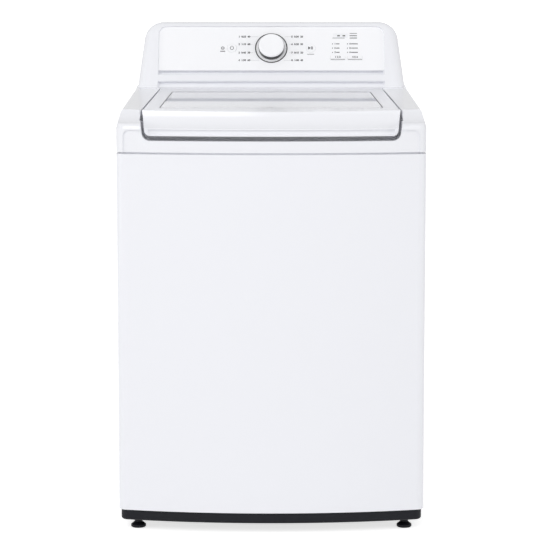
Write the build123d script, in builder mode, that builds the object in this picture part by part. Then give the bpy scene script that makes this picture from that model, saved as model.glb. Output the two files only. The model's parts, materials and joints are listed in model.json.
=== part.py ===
from build123d import *
import math
import os

# Top load washing machine. Millimetres, Z up, the front faces -Y, the origin lies on the floor
# below the middle of the outline.

os.makedirs("parts", exist_ok=True)

# Cabinet
cabinet_width = 686.0
overall_depth = 720.0
front_bow = 42.0
corner_radius = 22.0
sheet = 1.2
hole_fit = 0.2
rear_flange = 20.0
foot_flange = 15.0
rim_flange = 14.0
rear_reach = 22.0
field_side = 100.0
field_foot = 80.0
field_head = 140.0
field_corner = 40.0
field_depth = 9.0
foot_height = 24.0
foot_radius = 17.0
foot_inset = 42.0
foot_set_back = 40.0
foot_cone = 13.0
stem_radius = 5.0
stem_collar = 4.0
stem_rise = 18.0
nut_height = 7.0
skirt_height = 25.0
skirt_inset = 5.0
skirt_rail = 62.0
skirt_corner = 26.0
skirt_round = 6.0
seam_height = 853.0
seam_reveal = 4.0
tongue_inset = 9.0

# Top cover and lid
cover_wall = 3.0
fascia_rise = 48.6
fascia_step = 3.0
fascia_side = 16.0
fascia_round = 14.0
ridge_rise = 64.0
ridge_round = 12.0
ridge_sweep = 72.0
rake_run = 53.0
rake_hollow = 5.0
rake_reach = 1.15
hood_lean = 13.5
deck_edge = 8.0
deck_drop = 0.5
deck_recess = 1.5
deck_start = 25.0
deck_strip = 17.0
shoulder_inset = 26.0
lid_slope = 3.6
lid_setback = 45.0
lid_lift = 88.5
lid_front_inset = 57.0
lid_back_inset = 78.0
lid_thickness = 22.0
lid_gap = 6.0
lid_clearance = 4.0
glass_margin = 32.0
glass_front = 72.0
glass_back = 66.0
glass_corner = 12.0
glass_thickness = 4.0
glass_ledge = 8.0
gasket_width = 2.5
lip_reach = 30.0
lip_drop = 53.0
lip_nose = 36.0
lip_hollow = 6.0
lip_taper = 0.14
lip_corner = 12.0
lip_wall = 9.0
lip_rim = 3.0
groove_sink = 4.0
finger_gap = 10.0
finger_depth = 15.0
hinge_set_back = 9.5
hinge_drop = 12.0
well_tail = 21.0
pin_radius = 4.0
knuckle_radius = 8.0
knuckle_inset = 14.0
knuckle_width = 22.0
ear_width = 3.5
ear_gap = 0.5
hinge_foot = 2.5
mouth_back = 105.0
mouth_corner = 30.0
mouth_margin = 11.0
collar_rise = 21.0
bumper_radius = 7.0
bumper_inset = 60.0
bumper_set_back = 58.0
strike_x = 150.0
strike_width = 12.0
strike_depth = 5.0
strike_reach = 12.0
strike_room = 6.0
lock_width = 60.0
lock_depth = 32.0
lock_height = 26.0
drawer_x = -150.0
drawer_width = 120.0
drawer_height = 32.0
drawer_depth = 115.0
drawer_wall = 2.0
drawer_fit = 1.0
drawer_pull = 50.0
tray_wall = 2.5
tray_tail = 6.0
runner_gap = 0.05
runner_width = 4.0
port_x = 85.0
port_rise = 62.0
port_pitch = 52.0
port_radius = 13.2
port_bore = 8.0
port_room = 6.0

# Console
console_depth = 174.0
console_inset = 19.0
console_taper = 19.0
console_corner = 46.0
console_lean = 27.0
console_wall = 3.0
console_edge = 26.0
console_rear_gap = 7.0
back_plate = 2.0
pillar_width = 49.0
panel_set_back = 59.0
panel_foot_rise = 38.4
panel_height = 117.0
panel_head = 12.3
panel_thickness = 2.5
panel_step = 4.0
panel_corner = 20.0
groove_height = 11.0
groove_depth = 8.0
trim_height = 20.0
trim_proud = 4.0
trim_round = 4.0
channel_height = 8.0
channel_depth = 4.0
knob_up = 59.7
knob_radius = 31.0
knob_height = 18.5
knob_round = 4.0
knob_dish = 1.0
knob_gap = 1.0
socket_depth = 9.0
band_width = 0.5
ring_radius = 39.5
ring_width = 2.2
ring_height = 0.8
shaft_radius = 3.0
shaft_stand = 0.5
button_x = 96.0
button_radius = 11.5
button_fit = 0.3
button_rise = 0.8
button_flange = 2.0
flange_thickness = 1.5
button_travel = 1.5
key_inset = 92.0
key_pitch = 42.0
key_up = 34.0
key_width = 36.0
key_height = 13.0
key_corner = 3.0
key_rise = 0.5
display_inset = 106.0
display_up = 93.0
display_width = 36.0
display_height = 13.0
lens_inset = 125.5
lens_span = 36.6
lens_pitch = 11.4
lens_radius = 1.2
lens_rise = 0.2
board_depth = 14.0
board_thickness = 1.6
board_height = 80.0
board_margin = 26.0
post_radius = 4.0
encoder_width = 16.0
encoder_height = 6.0
switch_width = 7.0

# Tub, basket and drive
tub_radius = 270.0
tub_wall = 4.0
tub_floor = 165.0
tub_floor_wall = 5.0
tub_bevel = 20.0
tub_headroom = 33.0
tub_rib = 6.0
tub_cover_rise = 21.0
tub_cover_skirt = 16.0
tub_cover_lip = 10.0
rod_offset = 88.0
rod_radius = 4.0
rod_head = 17.0
rod_foot = 6.0
rod_seat = 2.0
rod_room = 2.0
bracket_drop = 26.0
bracket_width = 72.0
bracket_height = 50.0
bracket_plate = 3.0
bracket_tail = 30.0
socket_radius = 9.0
socket_flange = 14.0
socket_rise = 16.0
socket_skirt = 4.0
lug_rise = 338.0
lug_thickness = 12.0
lug_width = 52.0
lug_web = 8.0
lug_gusset = 40.0
cup_length = 94.0
cup_radius = 24.0
cup_wall = 4.0
cup_lid = 6.0
spring_radius = 15.0
spring_wall = 4.0
basket_gap = 16.0
basket_sheet = 1.2
basket_lift = 21.0
basket_drop = 33.0
base_rim = 22.0
base_wall = 5.0
base_plate = 6.0
base_hub = 45.0
base_flare = 17.0
base_hub_rise = 16.0
base_hub_drop = 12.0
ring_overhang = 22.0
balance_height = 28.0
balance_bevel = 4.0
balance_lip = 7.0
spin_radius = 12.5
wash_radius = 8.0
shaft_fit = 0.05
seal_radius = 32.0
seal_height = 10.0
seal_lip = 0.3
bearing_radius = 26.0
bearing_width = 15.0
bearing_inset = 4.0
hub_radius = 38.0
hub_length = 76.0
hub_flange = 140.0
hub_shoulder = 24.0
hub_plate = 6.0
stator_radius = 116.0
stator_height = 30.0
stator_rise = 14.0
stator_web = 8.0
stator_teeth = 24
tooth_width = 10.0
tooth_head = 22.0
tooth_tip = 4.0
tooth_length = 22.0
yoke_width = 14.0
air_gap = 1.0
rotor_wall = 10.0
rotor_floor = 4.0
rotor_hub = 22.0
rotor_hub_rise = 14.0
rotor_drop = 18.0
rotor_holes = 6
rotor_hole_radius = 16.0
rotor_hole_circle = 70.0
pulsator_radius = 190.0
pulsator_lift = 24.0
pulsator_hub = 24.0
pulsator_plate = 8.0
pulsator_rim = 14.0
pulsator_bevel = 6.0
fin_count = 6
fin_length = 120.0
fin_width = 34.0
fin_height = 34.0
fin_draft = 18.0
fin_inset = 74.0
cap_radius = 34.0
cap_rise = 14.0
pump_x = 140.0
pump_y = 165.0
pump_radius = 34.0
pump_height = 42.0
pump_axis_drop = 25.0
pump_motor_radius = 24.0
pump_motor_length = 85.0
pump_port_length = 66.0
sump_radius = 16.0
hose_radius = 11.0
hose_bend = 40.0
hose_exit_bend = 26.0
hose_wall = 2.0
outlet_inset = 40.0
outlet_drop = 85.0
outlet_stand_off = 34.0
outlet_flange = 9.0
flange_plate = 2.5
gland_drop = 55.0
gland_bore = 4.5
gland_radius = 9.8
gland_flange = 15.0
gland_reach = 10.0
gland_neck = 6.0
fill_radius = 8.0
fill_bend = 30.0
fill_stand = 40.0
valve_height = 44.0
valve_depth = 30.0
valve_corner = 6.0

# How far a cutting body runs past what it cuts
over = 90.0

# Positions that follow from the sizes
half_width = cabinet_width / 2
front_apex_y = -overall_depth / 2
front_corner_y = front_apex_y + front_bow
back_y = overall_depth / 2 - rear_reach
skirt_top = foot_height + skirt_height
shell_top = seam_height - seam_reveal
bow_radius = (half_width**2 + front_bow**2) / (2 * front_bow)
bow_centre_y = front_apex_y + bow_radius
bow_axis = Axis((0, bow_centre_y, 0), (0, 0, 1))
slope_sin = math.sin(math.radians(lid_slope))
slope_cos = math.cos(math.radians(lid_slope))
slope_tan = math.tan(math.radians(lid_slope))
lid_front_y = front_apex_y + lid_setback
lid_front_z = seam_height + lid_lift
lid_back_y = back_y - console_depth
lid_length = (lid_back_y - lid_front_y) / slope_cos
lid_back_z = lid_front_z + lid_length * slope_sin
lid_front_half = half_width - lid_front_inset
lid_back_half = half_width - lid_back_inset
lid_plane = Plane((0, lid_front_y, lid_front_z), (1, 0, 0), (0, -slope_sin, slope_cos))
deck_plane = lid_plane.offset(-deck_drop)
fascia_z = seam_height + fascia_rise
ridge_z = seam_height + ridge_rise
hood_z = ridge_z - ridge_round
hood_wall = cover_wall + fascia_step
rake_top_z = lid_front_z + (front_apex_y + rake_run - lid_front_y) * slope_tan - deck_drop
well_depth = lid_thickness + lid_clearance
well_back = lid_length + hinge_set_back + well_tail
hinge_y = lid_back_y + hinge_set_back
hinge_z = lid_back_z - hinge_drop
knuckle_x = lid_back_half - knuckle_inset
finger_z = lid_front_z - lip_drop - finger_gap
collar_z = seam_height + collar_rise
shoulder_front = lid_front_half + lid_gap
shoulder_back = half_width - shoulder_inset
lean_sin = math.sin(math.radians(console_lean))
lean_cos = math.cos(math.radians(console_lean))
lean_tan = math.tan(math.radians(console_lean))
panel_foot_y = lid_back_y + panel_set_back
console_base_z = lid_front_z + (panel_foot_y - lid_front_y) * slope_tan - deck_drop
panel_foot_z = console_base_z + panel_foot_rise
console_top_z = panel_foot_z + (panel_height + panel_head) * lean_cos
pillar_foot_y = panel_foot_y - panel_foot_rise * lean_tan - panel_step / lean_cos
console_back_y = back_y + console_rear_gap
console_base_half = half_width - console_inset
panel_half = console_base_half - pillar_width
key_x = panel_half - key_inset
display_x = panel_half - display_inset
lens_x = panel_half - lens_inset
panel_plane = Plane((0, panel_foot_y, panel_foot_z), (1, 0, 0), (0, -lean_cos, lean_sin))
trim_top = -groove_height
channel_middle = trim_top - trim_height - channel_height / 2
board_w = -board_depth
flange_w = -panel_thickness - console_wall - button_fit
tub_base = tub_floor - tub_floor_wall
tub_top = seam_height - tub_headroom
tub_height = tub_top - tub_floor
tub_outer = tub_radius + tub_wall
basket_radius = tub_radius - basket_gap
basket_base_z = tub_floor + basket_lift
basket_height = tub_height - basket_drop
basket_top = basket_base_z + basket_height
ring_hole = basket_radius - ring_overhang
mouth_radius = ring_hole + mouth_margin
lock_room_start = lid_front_y + finger_depth + cover_wall
lock_room_end = -math.sqrt((mouth_radius + cover_wall) ** 2 - (strike_x - lock_width / 2) ** 2)
strike_set_back = ((lock_room_start + lock_room_end) / 2 - lid_front_y) / slope_cos
mouth_floor_z = lid_front_z + (mouth_back - lid_front_y) * slope_tan - well_depth / slope_cos
tray_top = mouth_floor_z - cover_wall - drawer_fit
drawer_top = tray_top - tray_wall - drawer_fit
drawer_z = drawer_top - drawer_height
port_z = seam_height + port_rise
port_points = [(port_x - port_pitch / 2, port_z), (port_x + port_pitch / 2, port_z)]
hub_base = tub_base - hub_length
stator_z = hub_base + stator_rise
rotor_z = hub_base - rotor_drop
rotor_inner = stator_radius + air_gap
pulsator_z = basket_base_z + pulsator_lift
pulsator_top = pulsator_z + pulsator_hub
rod_circle = tub_outer + rod_offset
rod_x = rod_circle * math.cos(math.radians(45))
rod_points = [(rod_x, rod_x), (-rod_x, rod_x), (-rod_x, -rod_x), (rod_x, -rod_x)]
cup_z = lug_rise - cup_length
bracket_z = seam_height - bracket_drop
foot_x = half_width - foot_inset
foot_back_y = back_y - foot_set_back
foot_front_y = front_corner_y + foot_set_back
foot_points = [(foot_x, foot_back_y), (-foot_x, foot_back_y), (-foot_x, foot_front_y), (foot_x, foot_front_y)]
outlet_x = half_width - outlet_inset
outlet_y = back_y - outlet_stand_off
outlet_z = seam_height - outlet_drop
outlet_neck = hose_radius + 1.5 * hose_wall
gland_z = seam_height - gland_drop
pump_z = tub_base - pump_axis_drop


def finish(piece, name):
    """Names a finished piece and writes its file."""
    piece.part.label = name
    export_step(piece.part, f"parts/{name}.step")


def plan_outline(inset, rear):
    """Plan of the cabinet drawn in by inset: straight sides, bowed front, rounded front corners."""
    half = half_width - inset
    corner_y = front_corner_y + inset
    with BuildSketch() as outline:
        with BuildLine():
            Polyline((half, corner_y), (half, rear), (-half, rear), (-half, corner_y))
            ThreePointArc((-half, corner_y), (0, front_apex_y + inset), (half, corner_y))
        make_face()
        fillet(outline.vertices().group_by(Axis.Y)[0], corner_radius - inset)
    return outline.sketch


def lid_half(distance):
    """Half width of the lid at a distance from its front edge."""
    return lid_front_half + (lid_back_half - lid_front_half) * distance / lid_length


def lid_quad(grow, start, end):
    """Tapered lid plan between two distances from the front edge, widened by grow."""
    with BuildSketch() as quad:
        Polygon(
            (-lid_half(start) - grow, start),
            (lid_half(start) + grow, start),
            (lid_half(end) + grow, end),
            (-lid_half(end) - grow, end),
        )
    return quad.sketch


def glass_outline(inset):
    """Glass plan drawn in by inset: tapered like the lid, with rounded corners."""
    with BuildSketch() as outline:
        add(lid_quad(-glass_margin - inset, glass_front + inset, lid_length - glass_back - inset))
        fillet(outline.vertices(), glass_corner - inset)
    return outline.sketch


def lip_outline(grow, bottom):
    """Front view of the lid lip widened by grow and running down to a height."""
    top = lid_front_z + over
    top_half = lid_front_half + grow
    low_half = top_half - (lid_front_z - bottom) * lip_taper
    with BuildSketch() as outline:
        Polygon(
            (-top_half, top),
            (-top_half, lid_front_z),
            (-low_half, bottom),
            (low_half, bottom),
            (top_half, lid_front_z),
            (top_half, top),
        )
        fillet(outline.vertices().group_by(Axis.Y)[0], lip_corner + grow)
    return outline.sketch


def deck_quad(grow):
    """Lowered deck between the shoulders, widened by grow."""
    start = deck_start - grow
    end = lid_length + deck_strip + grow
    with BuildSketch() as quad:
        Polygon(
            (-shoulder_front - grow, start),
            (shoulder_front + grow, start),
            (shoulder_back + grow, end),
            (-shoulder_back - grow, end),
        )
    return quad.sketch


def mouth_outline(grow):
    """Loading mouth: half round at the front, square at the back with rounded corners."""
    reach = mouth_radius + grow
    with BuildSketch() as outline:
        with BuildLine():
            Polyline((reach, 0), (reach, mouth_back + grow), (-reach, mouth_back + grow), (-reach, 0))
            ThreePointArc((-reach, 0), (0, -reach), (reach, 0))
        make_face()
        fillet(outline.vertices().group_by(Axis.Y)[-1], mouth_corner + grow)
    return outline.sketch


def front_notch(grow):
    """Space round the lid lip: its front view, open to the front, with a bowed rear wall."""
    rear = lid_front_y + finger_depth + grow
    front = front_apex_y - over
    low = finger_z - over
    high = lid_front_z + over
    with BuildPart() as notch:
        with BuildSketch(Plane.YZ):
            Polygon((front, low), (rear, low), (rear, high), (front, high))
        revolve(axis=bow_axis)
        with BuildSketch(Plane.XZ.offset(-lid_front_y - over)):
            add(lip_outline(lid_gap + grow, finger_z - grow))
        extrude(amount=3 * over, mode=Mode.INTERSECT)
    return notch.part


def fascia_field():
    """Shallow field on the front of the cover: follows the bow, open below, round upper corners."""
    half = half_width - fascia_side
    with BuildPart() as field:
        with BuildSketch(Plane.YZ):
            Polygon(
                (front_apex_y - over, seam_height - over),
                (front_apex_y + fascia_step, seam_height - over),
                (front_apex_y + fascia_step, fascia_z),
                (front_apex_y - over, fascia_z),
            )
        revolve(axis=bow_axis)
        with BuildSketch(Plane.XZ.offset(-front_corner_y - over)) as outline:
            Polygon((-half, 0), (half, 0), (half, fascia_z), (-half, fascia_z))
            fillet(outline.vertices().group_by(Axis.Y)[-1], fascia_round)
        extrude(amount=3 * over, mode=Mode.INTERSECT)
    return field.part


def cover_block(inset):
    """Closed body of the top cover drawn in by inset: leaning sides, hollow rake, round ridge."""
    nose = (front_apex_y + ridge_round, hood_z)
    foot = Vector(0, front_apex_y + ridge_round, ridge_z - inset)
    rake = Vector(0, rake_run - ridge_round, rake_top_z - ridge_z)
    inward = Vector(0, rake.Z, -rake.Y).normalized()
    head = Vector(0, foot.Y, ridge_z) + rake * rake_reach + inward * inset
    middle = (foot + head) / 2 + inward * rake_hollow
    rear_y = back_y - inset
    with BuildPart() as block:
        with BuildSketch(Plane.XY.offset(seam_height - inset)):
            add(plan_outline(inset, rear_y))
        extrude(amount=hood_z - seam_height + inset)
        with BuildSketch(Plane.XY.offset(hood_z)):
            add(plan_outline(inset, rear_y + over))
        extrude(amount=over, taper=hood_lean)
        split(bisect_by=Plane((0, rear_y, 0), (1, 0, 0), (0, 1, 0)), keep=Keep.BOTTOM)
        split(bisect_by=deck_plane.offset(-inset), keep=Keep.BOTTOM)
    with BuildPart() as heel:
        add(block.part)
        split(bisect_by=Plane((0, pillar_foot_y, 0), (1, 0, 0), (0, 1, 0)), keep=Keep.TOP)
    with BuildPart() as rounded:
        add(block.part)
        upper = rounded.edges().filter_by(lambda edge: edge.center().Z > (ridge_z + rake_top_z) / 2)
        fillet(upper.filter_by(lambda edge: edge.center().Y < rear_y - 1), deck_edge - inset)
        with BuildSketch(Plane.YZ):
            with BuildLine():
                ridge = CenterArc(nose, ridge_round - inset, 90, ridge_sweep)
                front = ridge @ 1
                ThreePointArc((foot.Y, foot.Z), (middle.Y, middle.Z), (head.Y, head.Z))
                Polyline(
                    (head.Y, head.Z),
                    (head.Y, head.Z + over),
                    (front_apex_y - over, head.Z + over),
                    (front_apex_y - over, front.Y),
                    (front.X, front.Y),
                )
            make_face()
        revolve(axis=bow_axis, mode=Mode.SUBTRACT)
        add(heel.part)
    return rounded.part


def console_half(height):
    """Half width of the console at a height."""
    return console_base_half - console_taper * (height - console_base_z) / (console_top_z - console_base_z)


def console_outline(inset):
    """Back view of the console drawn in by inset: tapering sides and large top corners."""
    foot_z = console_base_z - over / 2
    low_half = console_half(foot_z) - inset
    top_half = console_half(console_top_z) - inset
    top_z = console_top_z - inset
    with BuildSketch() as outline:
        Polygon((-low_half, foot_z), (low_half, foot_z), (top_half, top_z), (-top_half, top_z))
        fillet(outline.vertices().group_by(Axis.Y)[-1], console_corner - inset)
    return outline.sketch


def console_block(inset, face_inset, rear):
    """Closed body of the console drawn in by inset, with its leaning front set back by face_inset."""
    with BuildPart() as block:
        with BuildSketch(Plane.XZ.offset(-rear)):
            add(console_outline(inset))
        extrude(amount=rear)
        split(bisect_by=panel_plane.offset(panel_step - face_inset), keep=Keep.BOTTOM)
        front = block.faces().sort_by(Axis.Y)[0]
        rim = front.edges().filter_by(lambda edge: edge.center().Z > console_base_z)
        fillet(rim, console_edge - inset)
    return block.part


def panel_outline(foot):
    """Panel seen square on, from a height below its foot up to its round upper corners."""
    with BuildSketch() as outline:
        with Locations((0, foot)):
            Rectangle(2 * panel_half, panel_height - foot, align=(Align.CENTER, Align.MIN))
        fillet(outline.vertices().group_by(Axis.Y)[-1], panel_corner)
    return outline.sketch


def key_points():
    """Places of the two option keys on the panel."""
    return [(key_x - key_pitch / 2, key_up), (key_x + key_pitch / 2, key_up)]


def button_points():
    """Places of the two round buttons on the panel."""
    return [(-button_x, knob_up), (button_x, knob_up)]


def lens_points():
    """Places of the indicator lenses on the panel."""
    columns = [lens_x, lens_x + lens_span]
    rows = [knob_up - lens_pitch, knob_up, knob_up + lens_pitch]
    return [(column, row) for column in columns for row in rows]


def panel_cuts(reach):
    """Openings for the shaft, the round buttons and the option keys, widened by reach."""
    with BuildSketch() as cuts:
        with Locations((0, knob_up)):
            Circle(shaft_radius + reach)
        with Locations(*button_points()):
            Circle(button_radius + reach)
        with Locations(*key_points()):
            RectangleRounded(key_width + 2 * reach, key_height + 2 * reach, key_corner + reach)
    return cuts.sketch


def round_button(place):
    """Round push button with a retaining flange behind the panel."""
    with BuildPart() as button:
        with BuildSketch(panel_plane.offset(flange_w - flange_thickness)):
            with Locations(place):
                Circle(button_radius + button_flange)
        extrude(amount=flange_thickness)
        with BuildSketch(panel_plane.offset(flange_w)):
            with Locations(place):
                Circle(button_radius)
        extrude(amount=button_rise - flange_w)
        outer_face = button.faces().sort_by(Axis(panel_plane.origin, panel_plane.z_dir))[-1]
        chamfer(outer_face.edges(), button_rise * 0.75)
    return button


def option_key(place):
    """Rectangular push button with a retaining flange behind the panel."""
    with BuildPart() as key:
        with BuildSketch(panel_plane.offset(flange_w - flange_thickness)):
            with Locations(place):
                RectangleRounded(
                    key_width + 2 * button_flange, key_height + 2 * button_flange, key_corner + button_flange
                )
        extrude(amount=flange_thickness)
        with BuildSketch(panel_plane.offset(flange_w)):
            with Locations(place):
                RectangleRounded(key_width, key_height, key_corner)
        extrude(amount=key_rise - flange_w)
    return key


# Cabinet wrap: bowed sheet with flanges at its rear, foot and top edges
with BuildPart() as cabinet_shell:
    with BuildSketch(Plane.XY.offset(skirt_top)):
        add(plan_outline(0, back_y))
        add(plan_outline(sheet, back_y + over), mode=Mode.SUBTRACT)
        with Locations((half_width - sheet, back_y), (-half_width + sheet + rear_flange, back_y)):
            Rectangle(rear_flange, sheet, align=(Align.MAX, Align.MAX))
    extrude(amount=shell_top - skirt_top)
    with BuildSketch(Plane.XY.offset(skirt_top)):
        add(plan_outline(0, back_y))
        add(plan_outline(foot_flange, back_y + over), mode=Mode.SUBTRACT)
    extrude(amount=sheet)
    with BuildSketch(Plane.XY.offset(shell_top - sheet)):
        add(plan_outline(0, back_y))
        add(plan_outline(rim_flange, back_y + over), mode=Mode.SUBTRACT)
    extrude(amount=sheet)
finish(cabinet_shell, "cabinet_shell")

# Rear panel with a pressed stiffening field
panel_rise = seam_height - skirt_top
field_width = cabinet_width - 2 * field_side
field_height = panel_rise - field_foot - field_head
field_z = skirt_top + field_foot + field_height / 2
with BuildPart() as rear_panel:
    with BuildSketch(Plane.XZ.offset(-back_y - sheet)):
        with Locations((0, skirt_top)):
            Rectangle(cabinet_width - 2 * sheet, panel_rise, align=(Align.CENTER, Align.MIN))
    extrude(amount=sheet)
    with BuildSketch(Plane.XZ.offset(-back_y - sheet)):
        with Locations((0, field_z)):
            RectangleRounded(field_width, field_height, field_corner)
    extrude(amount=sheet + field_depth)
    with BuildSketch(Plane.XZ.offset(-back_y - sheet)):
        with Locations((0, field_z)):
            RectangleRounded(field_width - 2 * sheet, field_height - 2 * sheet, field_corner - sheet)
    extrude(amount=field_depth, mode=Mode.SUBTRACT)
    with BuildSketch(Plane.XZ.offset(-back_y - sheet)):
        with Locations((outlet_x, outlet_z)):
            Circle(outlet_neck + hole_fit)
        with Locations((-outlet_x, gland_z)):
            Circle(gland_radius + hole_fit)
    extrude(amount=sheet, mode=Mode.SUBTRACT)
finish(rear_panel, "rear_panel")

# Base frame, feet and lock nuts
frame_length = back_y - front_corner_y
with BuildPart() as base_frame:
    with BuildSketch(Plane.XY.offset(foot_height)):
        add(plan_outline(skirt_inset, back_y - skirt_inset))
    extrude(amount=skirt_height)
    fillet(base_frame.edges().group_by(Axis.Z)[0], skirt_round)
    with BuildSketch(Plane.XY.offset(foot_height)):
        with Locations((0, (back_y + front_corner_y) / 2)):
            RectangleRounded(cabinet_width - 2 * skirt_rail, frame_length - 2 * skirt_rail, skirt_corner)
        with Locations(*foot_points):
            Circle(stem_radius + hole_fit)
    extrude(amount=skirt_height, mode=Mode.SUBTRACT)
finish(base_frame, "base_frame")

collar_radius = stem_radius + stem_collar
nut_z = foot_height - nut_height
with BuildPart() as foot:
    with BuildSketch(Plane.XZ):
        Polygon(
            (0, 0),
            (foot_radius - stem_collar / 2, 0),
            (foot_radius, stem_collar / 2),
            (foot_radius, foot_cone / 2),
            (collar_radius, foot_cone),
            (collar_radius, nut_z),
            (stem_radius, nut_z),
            (stem_radius, foot_height + stem_rise),
            (0, foot_height + stem_rise),
        )
    revolve(axis=Axis.Z)
with BuildPart() as leveling_feet:
    with Locations(*foot_points):
        add(foot.part)
finish(leveling_feet, "leveling_feet")

with BuildPart() as foot_lock_nuts:
    with BuildSketch(Plane.XY.offset(nut_z)):
        with Locations(*foot_points):
            RegularPolygon(collar_radius, 6)
            Circle(stem_radius, mode=Mode.SUBTRACT)
    extrude(amount=nut_height)
finish(foot_lock_nuts, "foot_lock_nuts")

# Top cover: thin hood with shoulders, a well for the lid, a finger slot, a collar round the mouth
# and a tongue that stands on the cabinet
with BuildPart() as cover_tray:
    with BuildSketch(deck_plane.offset(-deck_recess - cover_wall)):
        add(deck_quad(cover_wall))
    extrude(amount=over)
    with BuildSketch(lid_plane.offset(-well_depth - cover_wall)):
        add(lid_quad(lid_gap + cover_wall, finger_depth - 4 - cover_wall, well_back + cover_wall))
    extrude(amount=2 * over)
    add(front_notch(cover_wall))
    add(cover_block(0), mode=Mode.INTERSECT)

with BuildPart() as cover_collar:
    with BuildSketch(Plane.XY.offset(collar_z)):
        add(mouth_outline(cover_wall))
        add(mouth_outline(0), mode=Mode.SUBTRACT)
    extrude(amount=2 * over)
    split(bisect_by=lid_plane.offset(-well_depth - cover_wall / 2), keep=Keep.BOTTOM)

with BuildPart() as cover_tongue:
    with BuildSketch(Plane.XY.offset(seam_height)):
        add(plan_outline(fascia_step, back_y))
        add(plan_outline(tongue_inset + cover_wall, back_y + over), mode=Mode.SUBTRACT)
    extrude(amount=cover_wall)
    with BuildSketch(Plane.XY.offset(shell_top)):
        add(plan_outline(tongue_inset, back_y))
        add(plan_outline(tongue_inset + cover_wall, back_y + over), mode=Mode.SUBTRACT)
    extrude(amount=seam_reveal)

with BuildPart() as top_cover:
    add(cover_block(0))
    add(cover_block(hood_wall), mode=Mode.SUBTRACT)
    add(cover_tray.part)
    add(cover_collar.part)
    add(fascia_field(), mode=Mode.SUBTRACT)
    add(cover_tongue.part)
    with BuildSketch(deck_plane.offset(-deck_recess)):
        add(deck_quad(0))
    extrude(amount=over, mode=Mode.SUBTRACT)
    with BuildSketch(lid_plane.offset(-well_depth)):
        add(lid_quad(lid_gap, finger_depth - 4, well_back))
    extrude(amount=2 * over, mode=Mode.SUBTRACT)
    add(front_notch(0), mode=Mode.SUBTRACT)
    with BuildSketch(Plane.XY.offset(collar_z)):
        add(mouth_outline(0))
    extrude(amount=3 * over, mode=Mode.SUBTRACT)
    with BuildSketch(lid_plane.offset(-well_depth - 2 * cover_wall)):
        with Locations((strike_x, strike_set_back)):
            Rectangle(strike_width + strike_room, strike_depth + 2 * strike_room)
    extrude(amount=3 * cover_wall, mode=Mode.SUBTRACT)
    with BuildSketch(Plane.XZ.offset(-mouth_back - 2 * cover_wall)):
        with Locations((drawer_x, drawer_z + drawer_height / 2)):
            Rectangle(drawer_width + 2 * drawer_fit, drawer_height + 2 * drawer_fit)
    extrude(amount=3 * cover_wall, mode=Mode.SUBTRACT)
    with BuildSketch(Plane.XZ.offset(-back_y)):
        with Locations(*port_points):
            Circle(port_radius + port_room)
    extrude(amount=2 * hood_wall, mode=Mode.SUBTRACT)
finish(top_cover, "top_cover")

# Lid
with BuildPart() as lid_frame:
    with BuildSketch(lid_plane.offset(-lid_thickness)):
        add(lid_quad(0, 0, lid_length))
    extrude(amount=lid_thickness)
    with BuildSketch(Plane.YZ):
        Polygon(
            (lid_front_y - over, lid_front_z - over),
            (lid_front_y + finger_depth, lid_front_z - over),
            (lid_front_y + finger_depth, lid_front_z + over),
            (lid_front_y - over, lid_front_z + over),
        )
    revolve(axis=bow_axis, mode=Mode.SUBTRACT)
    with BuildSketch(lid_plane):
        add(glass_outline(glass_ledge))
    extrude(amount=-lid_thickness, mode=Mode.SUBTRACT)
    with BuildSketch(lid_plane):
        add(glass_outline(0))
    extrude(amount=-glass_thickness, mode=Mode.SUBTRACT)
    for knuckle_side in [-knuckle_x, knuckle_x]:
        with BuildSketch(Plane.YZ.offset(knuckle_side - knuckle_width / 2)):
            with Locations((hinge_y, hinge_z)):
                Circle(knuckle_radius)
                Rectangle(2 * hinge_set_back, 1.5 * knuckle_radius, align=(Align.MAX, Align.CENTER))
        extrude(amount=knuckle_width)
    with BuildSketch(Plane.YZ.offset(-half_width)):
        with Locations((hinge_y, hinge_z)):
            Circle(pin_radius)
    extrude(amount=cabinet_width, mode=Mode.SUBTRACT)
finish(lid_frame, "lid_frame")

lip_y = lid_front_y - lip_reach
lip_low = lid_front_z - lip_drop
groove_low = lip_low + lip_rim
groove_top = lid_front_z - lip_nose - lip_rim
with BuildPart() as lip_groove:
    with BuildSketch(Plane.YZ):
        Polygon(
            (lip_y - over, groove_low),
            (lip_y + groove_sink, groove_low),
            (lip_y + groove_sink, groove_top),
            (lip_y - over, groove_top),
        )
    revolve(axis=bow_axis)
    with BuildSketch(Plane.XZ.offset(-lid_front_y)):
        add(lip_outline(-lip_wall, groove_low))
    extrude(amount=2 * over, mode=Mode.INTERSECT)

lip_top = Vector(0, lid_front_y, lid_front_z + lip_rim)
lip_front = Vector(0, lip_y, lid_front_z - lip_nose)
lip_chord = lip_top - lip_front
lip_sink = (lip_top + lip_front) / 2 + Vector(0, lip_chord.Z, -lip_chord.Y) * lip_hollow / lip_chord.length
with BuildPart() as lid_handle:
    with BuildSketch(Plane.YZ):
        with BuildLine():
            ThreePointArc((lip_top.Y, lip_top.Z), (lip_sink.Y, lip_sink.Z), (lip_front.Y, lip_front.Z))
            Polyline(
                (lip_front.Y, lip_front.Z),
                (lip_y, lip_low),
                (lip_y + lip_wall, lip_low),
                (lip_y + lip_wall, lip_front.Z - lip_rim),
                (lid_front_y + finger_depth - lip_wall, lid_front_z - lid_thickness),
                (lid_front_y + finger_depth, lid_front_z - lid_thickness),
                (lid_front_y + finger_depth, lip_top.Z),
                (lip_top.Y, lip_top.Z),
            )
        make_face()
    revolve(axis=bow_axis)
    with BuildSketch(Plane.XZ.offset(-lid_front_y - over)):
        add(lip_outline(0, lip_low))
    extrude(amount=3 * over, mode=Mode.INTERSECT)
    split(bisect_by=lid_plane, keep=Keep.BOTTOM)
    add(lip_groove.part, mode=Mode.SUBTRACT)
finish(lid_handle, "lid_handle")

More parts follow.
